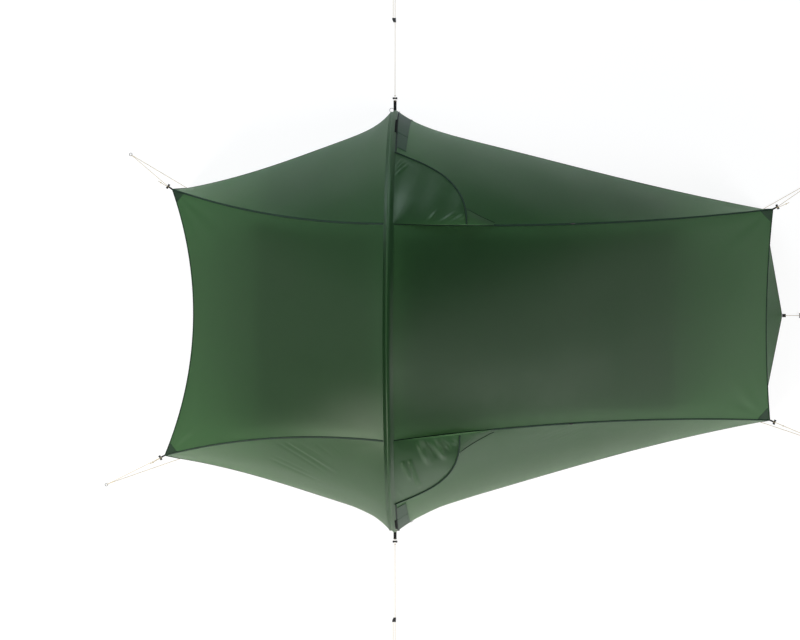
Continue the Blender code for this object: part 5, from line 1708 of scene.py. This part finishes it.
def bight(wire, towards, back, radius, count=10):
    """Points of a cord's turn about a wire: it comes in along towards and leaves along back."""
    first = (Vector((0, 0, 1)) - towards * towards.z).normalized()
    second = (Vector((0, 0, -1)) + back * back.z).normalized()
    axis = towards.cross(first).normalized()
    turn = -first.angle(second)
    if (Matrix.Rotation(turn / 2, 3, axis) @ first).dot(towards) < 0:
        turn = -turn
    return [wire + Matrix.Rotation(turn * i / count, 3, axis) @ first * radius
            for i in range(count + 1)]


def corner_guy(end_name, side_name):
    """A corner guyline with its lock, tab, knot and peg ring."""
    end, side = ENDS[end_name], SIDES[side_name]
    label = f"{end_name}_{side_name}"
    ring_centre = RINGS[end_name, side_name]
    top, foot = corner(end, side, True), corner(end, side, False)
    flat = Vector((ring_centre.x - top.x, ring_centre.y - top.y, 0.0)).normalized()
    r = RING_DIAMETER / 2 - RING_WIRE / 2
    clear = RING_WIRE / 2 + CORD_DIAMETER / 2 + CLEARANCE
    wire = ring_centre - flat * r
    wire.z = clear + CORD_DIAMETER / 2 + CLEARANCE
    tilt = math.asin((wire.z - RING_LOW_Z) / (2 * r))
    centre = wire + flat * r * math.cos(tilt)
    centre.z = (wire.z + RING_LOW_Z) / 2
    forward = flat * math.cos(tilt) - Vector((0, 0, math.sin(tilt)))
    hoop(f"ring_{label}", centre, (forward, Vector((-flat.y, flat.x, 0.0))), r, RING_WIRE / 2,
         (56, 14), "Ring metal", "ring", f"peg_ring_{label}")

    middle = top + flat * LOCK_STAND_OFF
    direction = (wire + Vector((0, 0, clear)) - middle).normalized()
    lock_piece(label, middle, direction)
    reach = LOCK_WAIST * 0.8
    start, stop = top + flat * 0.0004, middle - direction * reach - Vector((0, 0, reach))
    line = np.array([start.lerp(stop, t)[:] for t in np.linspace(0, 1, 10)])
    strip(f"tab_{label}", (line, None), (0.009, 0.0012), "Black webbing", "tent", "fly")

    leave = Vector((foot.x + end * CORD_FOOT_OUT, foot.y + side * CORD_FOOT_OUT, CORD_FOOT_Z))
    back = (leave - wire).normalized()
    behind = middle - direction * CORNER_TAIL_START
    tail = [behind + flat * out + Vector((0.0, 0.0, up)) for out, up in CORNER_TAIL]
    route = tail + [behind + direction * 0.002, middle, middle + direction * 0.012]
    route += bight(wire, direction, back, clear) + [leave]
    knot = knot_piece(f"knot_{label}", tail[1] + (tail[0] - tail[1]) * 0.15,
                      tail[0] - tail[1])
    cord_piece(label, smooth_path(route[::-1], 0.004), f"corner_cord_{label}")


def peg_loop(start, out, across, count=14):
    """A cord's half turn round a peg, from one strand to the other."""
    half = GUY_STRAND_GAP / 2
    turns = np.linspace(0, math.pi, count)
    return [start + across * half * (1 - math.cos(t)) + out * half * math.sin(t) for t in turns]


def arch_guy(side_name):
    """An arch foot's guyline: its lock, its knot and the loop for its peg."""
    side = SIDES[side_name]
    label = f"arch_{side_name}"
    out = Vector((0.0, side, 0.0))
    lock_at = Vector((0.0, side * ARCH_LOCK_Y, GUY_HEIGHT))
    lock_piece(label, lock_at, out)
    route = [Vector((0.0, side * ARCH_EYE_Y, CORD_DIAMETER / 2 + CLEARANCE))]
    heights = (STRAP_THICKNESS + CORD_DIAMETER, GUY_HEIGHT - 0.002, GUY_HEIGHT)
    route += [Vector((0.0, side * ARCH_EYE_Y + side * far, height))
              for far, height in zip(ARCH_CORD_RISE, heights)]
    route += [lock_at, lock_at + out * LOCK_CLEAR]
    route += peg_loop(Vector((0.0, side * ARCH_GUY_END, GUY_HEIGHT)), out, Vector((-1, 0, 0)))
    route.append(Vector((-GUY_STRAND_GAP, side * RUNNER_Y, GUY_HEIGHT)))
    knot = knot_piece(f"knot_{label}", lock_at + out * LOCK_KNOT, out)
    cord_piece(label, smooth_path(route, 0.004), f"arch_cord_{side_name}")


def foot_guy():
    """The foot guyline: its lock, knots and the loop for its peg."""
    out = Vector((1.0, 0.0, 0.0))
    eye, lock_at = (Vector((x, FOOT_PEAK.y, HEM_HEIGHT)) for x in (FOOT_EYE_X, FOOT_LOCK_X))
    lock_piece("foot", lock_at, out)
    route = [eye - Vector((0.0, 0.0, FOOT_CORD_DROP))]
    route += [eye + Vector((reach, 0.0, up)) for reach, up in FOOT_CORD_RISE]
    route += [lock_at, lock_at + out * LOCK_CLEAR]
    peg_at = Vector((FOOT_GUY_END, FOOT_PEAK.y, GUY_HEIGHT))
    route += peg_loop(peg_at, out, Vector((0.0, 1.0, 0.0)))
    end = Vector((FOOT_LOCK_X + FOOT_CORD_END, FOOT_PEAK.y + GUY_STRAND_GAP, GUY_HEIGHT))
    route.append(end)
    knots = [knot_piece("knot_foot", lock_at + out * LOCK_KNOT, out),
             knot_piece("knot_foot_end", end + out * 0.006, out)]
    cord_piece("foot", smooth_path(route, 0.003), "foot_cord")


class TENT_OT_guylines(Operator):
    """Make the guylines with their locks, knots and peg rings."""

    bl_idname = "tent.guylines"
    bl_label = "Guylines"

    def execute(self, context):
        for end_name, side_name in RINGS:
            corner_guy(end_name, side_name)
        for side_name in SIDES:
            arch_guy(side_name)
        foot_guy()
        return {"FINISHED"}


def eyelet(name, centre, radius):
    """A small round eyelet in flat webbing."""
    up = Vector((0.0, 0.0, 1.0))
    side = up.orthogonal().normalized()
    hoop(name, centre, (side, up.cross(side)), radius, 0.0011, (28, 8), "Painted metal", "trim")


def level_rows(starts, stops, count):
    """Straight rows of points between pairs of places, with normals that face up."""
    return [(np.linspace(start, stop, count), np.tile([0.0, 0.0, 1.0], (count, 1)))
            for start, stop in zip(starts, stops)]


class TENT_OT_fittings(Operator):
    """Make the arch's feet, their straps, the toggles' loops and the metal's finish."""

    bl_idname = "tent.fittings"
    bl_label = "Feet, straps and fittings"

    def execute(self, context):
        for side_name, side in SIDES.items():
            self.arch_foot(side_name, side)
            self.toggle_loop(side_name, side)
        self.foot_loop()
        for name, item in NODES.items():
            for starts, finish in ((("arch_pole", "corner_strut"), "Anodised tube"),
                                   (("door_toggle", "line_runner"), "Black plastic")):
                if name.startswith(starts):
                    for place in item.material_slots:
                        place.material = finish_of(finish)
        return {"FINISHED"}

    def arch_foot(self, side_name, side):
        """A moulded cup for the pole's end and the webbing strap under it."""
        y = arch_point(height_angle(0.0062) * side).y
        profile = [(0.0001, 0.0003), (0.0085, 0.0003), (0.0098, 0.0012), (0.0100, 0.0030),
                   (0.0094, 0.0045), (0.0100, 0.0060), (0.0094, 0.0075), (0.0099, 0.0092),
                   (0.0097, 0.0122), (0.0085, 0.0130), (0.0064, 0.0128), (0.0061, 0.0115),
                   (0.0061, 0.0050), (0.0001, 0.0050)]
        cup = lathe(f"cup_{side_name}", profile, Vector((0.0, y, 0.0)), (0, 0, 1),
                    finish_of("Black plastic"))
        settled(cup, "tent", f"arch_foot_{side_name}", slot="trim")
        strap = level_rows([(0.0, y + side * 0.0075, 0.0011)],
                           [(0.0, y + side * STRAP_REACH, 0.0011)], 24)
        strip(f"strap_{side_name}", strap[0], (0.0178, 0.0009), "Black webbing", "tent", "trim")
        eyelet(f"eyelet_{side_name}", Vector((0.0, side * ARCH_EYE_Y, 0.0019)), 0.0031)
        if side > 0:
            hoop("ring_arch_left", Vector((-0.0195, y + 0.012, 0.0014)),
                 (Vector((1.0, 0.0, 0.0)), Vector((0.0, 1.0, 0.0))), 0.0125, 0.0012, (48, 10),
                 "Ring metal", "ring")
        near, far = y + side * 0.012, y + side * 0.036
        rows = level_rows([(x, near, 0.0021) for x in (-0.007, 0.007)],
                          [(x, far, 0.0021) for x in (-0.007, 0.007)], 8)
        across = [y + side * t for t in (0.012, 0.024, 0.036)]
        rows += level_rows([(-0.007, t, 0.0021) for t in across],
                           [(0.007, t, 0.0021) for t in across], 6)
        stitched(f"strap_{side_name}", rows, "tent", "trim", STRAP_PITCH, STRAP_STITCH)


    def toggle_loop(self, side_name, side):
        """The elastic loop that holds a toggle on the seam."""
        low, high = (Vector(corner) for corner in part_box(f"door_toggle_{side_name}"))
        centre = (low + high) / 2
        run = Vector((1.0, 0.0, 0.0))
        lean = mirrored(Vector((0.0, 0.6, 0.8)), side)
        across = run.cross(lean)
        turns = np.linspace(0, 2 * math.pi, 30, endpoint=False)
        for number, shift in enumerate((-0.0016, 0.0016)):
            loop = []
            for t in turns:
                up = math.cos(t) * 0.0040
                up = up - 0.0012 if up < 0 else up
                loop.append((centre + run * shift + lean * up + across * math.sin(t) * 0.0040)[:])
            loop = np.array(loop)
            made = swept(f"toggle_loop_{side_name}_{number + 1}", loop, circle(0.0010, 8),
                         finish_of("Elastic cord"), loop - np.array(centre[:]), closed=True)
            settled(made, "tent", slot="plastic")

    def foot_loop(self):
        """The doubled webbing loop at the foot wall's peak."""
        start, y = FOOT_PEAK.x + 0.0012, FOOT_PEAK.y
        height = HEM_HEIGHT + 0.0004
        loop = level_rows([(start, y, height)], [(start + 0.0208, y, height)], 8)
        strip("webbing_foot", loop[0], (0.0195, 0.0009), "Black webbing", "tent", "trim",
              "foot_webbing_loop")
        eyelet("eyelet_foot", Vector((FOOT_EYE_X, y, HEM_HEIGHT + 0.0012)), 0.0042)
        xs, high = (start + 0.003, start + 0.006), HEM_HEIGHT + 0.0014
        rows = level_rows([(x, y - 0.008, high) for x in xs], [(x, y + 0.008, high) for x in xs],
                          8)
        stitched("foot_loop", rows, "tent", "trim", STRAP_PITCH, STRAP_STITCH)


def inner_half_width(x):
    """The inner tent's half width at the top of its tub."""
    share = (x - INNER_HEAD_X) / (INNER_FOOT_X - INNER_HEAD_X)
    return INNER_HEAD_HALF_WIDTH + (INNER_FOOT_HALF_WIDTH - INNER_HEAD_HALF_WIDTH) * share


def inner_stations(x):
    """The left half of the inner tent's section at x: foot, shoulder, roof's quarter, crown."""
    end = -1.0 if x < 0 else 1.0
    reach = (HEAD_TOP_LENGTH if x < 0 else FOOT_TOP_LENGTH) - PANEL_X
    u = min(max((abs(x) - PANEL_X) / reach, 0.0), 1.0)
    shoulder, other = seam(end, 1.0)(u), seam(end, -1.0)(u)
    drift = (shoulder.y + other.y) / 2
    crown = roof_panel(end)(u, 0.5)
    low = Vector((x, inner_half_width(x) - 0.00075, TUB_HEIGHT + CLEARANCE))
    high = Vector((x, shoulder.y - drift - INNER_ROOM * math.sin(SEAM_ANGLE),
                   shoulder.z - INNER_ROOM * math.cos(SEAM_ANGLE)))
    top = Vector((x, 0.0, crown.z - INNER_ROOM))
    return low, high, top, drift


def canopy_point(x, share, side=1.0):
    """A point of the canopy: share runs 0..1 up a side's wall, and 1..2 to the crown."""
    low, high, top, drift = inner_stations(x)
    if share <= 1.0:
        point = low.lerp(high, share)
        bow = math.sin(math.pi * share) * 0.006
        point.y -= bow
    else:
        t = share - 1.0
        point = high.lerp(top, t)
        point.z += (top.z - high.z) * math.sin(math.pi * t) * 0.25
    ends = INNER_HEAD_X if x < 0 else INNER_FOOT_X
    near = max(0.0, 1 - abs(x - ends) / 0.08)
    lean = INNER_END_LEAN / (CORNER_HEIGHT - TUB_HEIGHT)
    point.x -= math.copysign(lean * near * (point.z - TUB_HEIGHT), x)
    point.y = point.y * side + drift * min((point.z - low.z) / (high.z - low.z), 1.0)
    return point


def door_outline(step=0.02):
    """The inner door's outline in (x, z): a flat sill, upright sides and a rounded top."""
    middle = INNER_DOOR_START + INNER_DOOR_LENGTH / 2
    half = INNER_DOOR_LENGTH / 2
    radius = min(half, INNER_DOOR_TOP - INNER_DOOR_SILL) * 0.75
    turns = np.linspace(0, math.pi / 2, 24)
    right = [(half - radius * (1 - math.cos(t)), INNER_DOOR_TOP - radius * (1 - math.sin(t)))
             for t in turns]
    shape = [(-half, INNER_DOOR_SILL), (half, INNER_DOOR_SILL)] + right
    shape += [(-x, z) for x, z in reversed(right)]
    shape = np.array(shape + shape[:1]) + np.array([middle, 0.0])
    along = arc_lengths(shape)
    places = np.arange(0, along[-1], step)
    return np.stack([np.interp(places, along, shape[:, i]) for i in range(2)], axis=1)


def wall_point(x, z, side):
    """The place of the canopy's wall at x and a height."""
    low, high = inner_stations(x)[:2]
    share = (z - low.z) / (high.z - low.z)
    return canopy_point(x, min(max(share, 0.0), 1.0), side)[:]


def inside_outline(points, outline):
    """Whether (x, z) points lie inside a closed outline."""
    inside = np.zeros(len(points), bool)
    for (x0, z0), (x1, z1) in zip(outline, np.roll(outline, -1, axis=0)):
        crosses = (z0 > points[:, 1]) != (z1 > points[:, 1])
        with np.errstate(divide="ignore", invalid="ignore"):
            at = x0 + (points[:, 1] - z0) * (x1 - x0) / (z1 - z0)
        inside ^= crosses & (points[:, 0] < at)
    return inside


def wall_grid(side):
    """The canopy's wall as a grid whose points are drawn onto the door's outline."""
    xs = np.linspace(*CANOPY_SPAN, CANOPY_COLUMNS)
    outline = door_outline(0.008)
    flat = []
    for share in np.linspace(0.0, 1.0, WALL_ROWS):
        for x in xs:
            low, high = inner_stations(x)[:2]
            flat.append((x, low.z + (high.z - low.z) * share))
    flat = np.array(flat)
    fixed = flat.copy()
    for index in np.flatnonzero((flat[:, 0] > -0.05) & (flat[:, 0] < 0.95)):
        gaps = np.linalg.norm(outline - flat[index], axis=1)
        if gaps.min() < 0.0085:
            fixed[index] = outline[gaps.argmin()]
    points = np.array([wall_point(x, z, side) for x, z in fixed])
    quads = grid_quads(WALL_ROWS, len(xs))
    middles = fixed[quads].mean(axis=1)
    return points.reshape(WALL_ROWS, len(xs), 3), quads, inside_outline(middles, outline)


def mesh_of(name, points, quads, material, out):
    """A smooth cloth mesh of chosen quads, with its x and height in metres as its UV map."""
    used, order = np.unique(quads, return_inverse=True)
    faces = order.reshape(quads.shape)
    flat = points.reshape(-1, 3)[used]
    normal = np.cross(flat[faces[0, 1]] - flat[faces[0, 0]], flat[faces[0, 3]] - flat[faces[0, 0]])
    if normal @ np.array(out) < 0:
        faces = faces[:, ::-1]
    return cut_mesh(name, flat.tolist(), faces.tolist(), flat[faces.ravel()][:, [0, 2]], material)


def tape_round(name, side, body, widen, width):
    """A tape along the inner door's sides and top, a little outside or inside them."""
    outline = door_outline()
    outline = outline[outline[:, 1] > INNER_DOOR_SILL + 0.015]
    moved = outline + unit_rows(outline - outline.mean(axis=0)) * widen
    line = np.array([wall_point(x, z, side) for x, z in moved])
    normals = np.tile(np.array([0.0, side, 0.35]) / math.hypot(1.0, 0.35), (len(line), 1))
    strip(name, (line, normals), (width, 0.0010), "Zip tape", body, "inner")


class TENT_OT_inner(Operator):
    """Make the inner tent: tub floor, canopy, net doors and their zips."""

    bl_idname = "tent.inner"
    bl_label = "Inner tent"

    def execute(self, context):
        canopy = []
        cloth, net = finish_of("Inner cloth"), finish_of("Net")
        for side_name, side in SIDES.items():
            out = (0.0, side, 0.3)
            body = f"inner_door_{side_name}"
            points, quads, door = wall_grid(side)
            canopy.append(mesh_of(f"wall_{side_name}", points, quads[~door], cloth, out))
            leaf = mesh_of(f"net_door_{side_name}", points, quads[door], net, out)
            settled(leaf, body, body, slot="vent_mesh")
            tape_round(f"inner_zip_{side_name}", side, "tent", 0.007, 0.014)
            tape_round(f"inner_door_tape_{side_name}", side, body, -0.008, 0.012)
        canopy.append(self.roof(cloth))
        canopy += [self.end_panel(x, cloth) for x in (INNER_HEAD_X, INNER_FOOT_X)]
        piece = joined("cloth_inner_canopy", canopy)
        settled(piece, "tent", "inner_canopy", slot="inner")
        self.hangers()
        self.tub()
        return {"FINISHED"}

    def roof(self, cloth):
        """The canopy's roof from one shoulder over the crown to the other."""
        xs = np.linspace(*CANOPY_SPAN, CANOPY_COLUMNS)
        shares = np.linspace(1.0, 2.0, ROOF_ROWS)
        left = np.array([[canopy_point(x, s)[:] for x in xs] for s in shares])
        right = np.array([[canopy_point(x, s, -1.0)[:] for x in xs] for s in shares[::-1]])
        return grid_mesh("inner_roof", np.concatenate([left, right[1:]]), cloth)

    def end_panel(self, x, cloth):
        """The upright end of the canopy, from its wall edges to its middle."""
        x -= math.copysign(CANOPY_INSET, x)
        shares = np.concatenate([np.linspace(0.0, 1.0, WALL_ROWS),
                                 np.linspace(1.0, 2.0, ROOF_ROWS)[1:]])
        edge, other = (np.array([canopy_point(x, s, side)[:] for s in shares])
                       for side in (1.0, -1.0))
        grid = np.array([edge * (1 - t) + other * t for t in np.linspace(0, 1, 40)])
        return grid_mesh("inner_end", grid, cloth, (math.copysign(1.0, x), 0.0, 0.2))

    def hangers(self):
        """The three tapes that hang the canopy under the pole sleeve."""
        top = -SLEEVE_CROWN - 0.0007
        for number, angle in enumerate((-SEAM_ANGLE, 0.0, SEAM_ANGLE)):
            rises = np.linspace(top, top - INNER_ROOM + 0.004, 14)
            line = np.array([arch_point(angle, 0.0, rise)[:] for rise in rises])
            normals = np.tile(np.array([0.0, math.cos(angle), -math.sin(angle)]), (14, 1))
            strip(f"inner_hanger_{number + 1}", (line, normals), (0.012, 0.0009),
                  "Black webbing", "tent", "inner")

    def tub(self):
        """The floor with its raised walls and rounded corners."""
        radius, count = 0.03, 9
        levels = ((0.0014, 0.020), (0.0016, 0.006), (0.004, 0.0012), (0.010, 0.0004),
                  (0.04, 0.0012), (0.08, 0.0012), (0.108, 0.0006), (TUB_HEIGHT, 0.0002))
        corners = ((INNER_FOOT_X, 1.0, 0.0), (INNER_HEAD_X, 1.0, 90.0),
                   (INNER_HEAD_X, -1.0, 180.0), (INNER_FOOT_X, -1.0, 270.0))
        rings = []
        for height, inset in levels:
            ring = []
            for x, side, start in corners:
                cx = x - math.copysign(radius, x)
                cy = side * (inner_half_width(x) - radius)
                for t in np.radians(np.linspace(start, start + 90.0, count)):
                    reach = radius - inset
                    ring.append((cx + reach * math.cos(t), cy + reach * math.sin(t), height))
            rings.append(self.spaced(ring))
        size = len(rings[0])
        points = [p for ring in rings for p in ring]
        starts = [(level * size, (level + 1) * size) for level in range(len(rings) - 1)]
        outer = 0
        steps = 24
        for step in range(1, steps):
            starts.append((len(points), outer))
            outer = len(points)
            share = 1 - step / steps
            for x, y, _ in rings[0]:
                wave = 0.0006 * math.sin(9 * x * share + 4 * y) * math.sin(7 * y * share)
                points.append((0.4 + (x - 0.4) * share, y * share, 0.0016 + abs(wave)))
        faces = [(inner + i, inner + (i + 1) % size, rim + (i + 1) % size, rim + i)
                 for inner, rim in starts for i in range(size)]
        faces.append(tuple(outer + i for i in reversed(range(size))))
        flat = np.array(points)[np.concatenate(faces)]
        tub = cut_mesh("cloth_tub", points, faces, flat[:, :2] + flat[:, 2:],
                       finish_of("Floor cloth"))
        settled(tub, "tent", "inner_floor", slot="floor")
        rim = np.array(rings[-1])
        outwards = np.array([(p[0] - 0.4, p[1] * 2, 0.0) for p in rim])
        strip("tub_binding", (rim, outwards), (0.009, 0.0010), "Binding", "tent", "floor",
              closed=True)

    def spaced(self, ring):
        """A ring's corners with points added along its straight sides."""
        made = []
        for start, end in zip(ring, ring[1:] + ring[:1]):
            far = math.dist(start, end)
            parts = max(int(far / 0.05), 1)
            for i in range(parts):
                share = i / parts
                made.append(tuple(s + (e - s) * share for s, e in zip(start, end)))
        return made


class TENT_OT_stage(Operator):
    """Set up the camera, the soft studio light and the pale floor."""

    bl_idname = "tent.stage"
    bl_label = "Stage"

    def execute(self, context):
        scene = context.scene
        studio = scene.tent_stage
        data = bpy.data.cameras.new("camera")
        width, height = PHOTO_SIZE
        data.sensor_width = 36.0
        data.lens = PHOTO_FOCAL / width * data.sensor_width
        data.shift_x = (width / 2 - PHOTO_CENTRE[0]) / width
        data.shift_y = (PHOTO_CENTRE[1] - height / 2) / width
        data.clip_end = 100.0
        camera = bpy.data.objects.new("camera", data)
        camera.location = CAMERA_PLACE
        scene.collection.objects.link(camera)
        scene.camera = camera
        for name, place, power, size, colour in LAMPS:
            self.lamp(f"lamp_{name}", place, power * studio.power, size, colour)
        self.world(scene, studio)
        self.floor(studio)
        scene.view_settings.view_transform = "Standard"
        return {"FINISHED"}

    def lamp(self, name, place, power, size, colour):
        """A large soft lamp that points at the tent."""
        data = bpy.data.lights.new(name, "AREA")
        data.shape = "DISK"
        data.size = size
        data.energy = power
        data.color = colour
        lamp = bpy.data.objects.new(name, data)
        lamp.location = place
        way = LAMP_AIM - Vector(place)
        lamp.rotation_euler = way.to_track_quat("-Z", "Y").to_euler()
        bpy.context.scene.collection.objects.link(lamp)

    def world(self, scene, studio):
        """Even light from all round, with white behind the tent."""
        world = bpy.data.worlds.new("studio")
        scene.world = world
        world.use_nodes = True
        tree = world.node_tree
        path = node(tree, "LightPath")
        strength = node(tree, "Mix", {0: path.outputs["Is Camera Ray"], 2: studio.daylight,
                                      3: 1.0})
        wired(tree, tree.nodes["Background"], {"Strength": strength.outputs[0],
                                               "Color": (1.0, 1.0, 1.0, 1.0)})

    def floor(self, studio):
        """A pale floor that stays white round the tent and keeps its shadow."""
        corners = [(x * FLOOR_SIZE, y * FLOOR_SIZE, FLOOR_Z)
                   for x, y in ((-1, -1), (1, -1), (1, 1), (-1, 1))]
        mesh = bpy.data.meshes.new("studio_floor")
        mesh.from_pydata(corners, [], [(0, 1, 2, 3)])
        made, tree, shader, _, _ = started("Studio floor")
        seen = node(tree, "LightPath").outputs["Is Camera Ray"]
        tone = node(tree, "Mix", {0: seen, 2: studio.floor, 3: FLOOR_SEEN})
        wired(tree, shader, {
            "Roughness": 0.9, "Specular IOR Level": 0.0, "Base Color": tone.outputs[0],
            "Emission Color": (1.0, 1.0, 1.0, 1.0),
            "Emission Strength": maths(tree, "MULTIPLY", seen, FLOOR_GLOW)})
        new_object("studio_floor", mesh, made)


class TENT_PT_panel(Panel):
    """The tent's pieces in the sidebar."""

    bl_label = "Two-person tent"
    bl_idname = "TENT_PT_panel"
    bl_space_type = "VIEW_3D"
    bl_region_type = "UI"
    bl_category = "Tent"

    def draw(self, context):
        layout = self.layout
        for group in ("tent_cloth", "tent_stitches", "tent_guylines", "tent_stage"):
            values = getattr(context.scene, group)
            box = layout.box()
            for name in values.__annotations__:
                box.prop(values, name)
        for operator in OPERATORS:
            layout.operator(operator.bl_idname)


OPERATORS = (TENT_OT_stage, TENT_OT_guylines, TENT_OT_fly, TENT_OT_seams, TENT_OT_sleeve,
             TENT_OT_zips, TENT_OT_vents, TENT_OT_patches, TENT_OT_fittings, TENT_OT_inner)
GROUPS = {"tent_cloth": ClothSettings, "tent_stitches": StitchSettings,
          "tent_guylines": GuylineSettings, "tent_stage": StageSettings}


def register():
    """Register the settings, the operators and the panel."""
    for name, group in GROUPS.items():
        bpy.utils.register_class(group)
        setattr(bpy.types.Scene, name, PointerProperty(type=group))
    for made in OPERATORS + (TENT_PT_panel,):
        bpy.utils.register_class(made)


def unregister():
    """Take the settings, the operators and the panel out again."""
    for made in reversed(OPERATORS + (TENT_PT_panel,)):
        bpy.utils.unregister_class(made)
    for name, group in reversed(GROUPS.items()):
        delattr(bpy.types.Scene, name)
        bpy.utils.unregister_class(group)


def main():
    """Make every piece in order."""
    register()
    bpy.ops.tent.stage()
    bpy.ops.tent.guylines()
    bpy.ops.tent.fly()
    bpy.ops.tent.seams()
    bpy.ops.tent.sleeve()
    bpy.ops.tent.zips()
    bpy.ops.tent.vents()
    bpy.ops.tent.patches()
    bpy.ops.tent.fittings()
    bpy.ops.tent.inner()


if __name__ == "__main__":
    main()
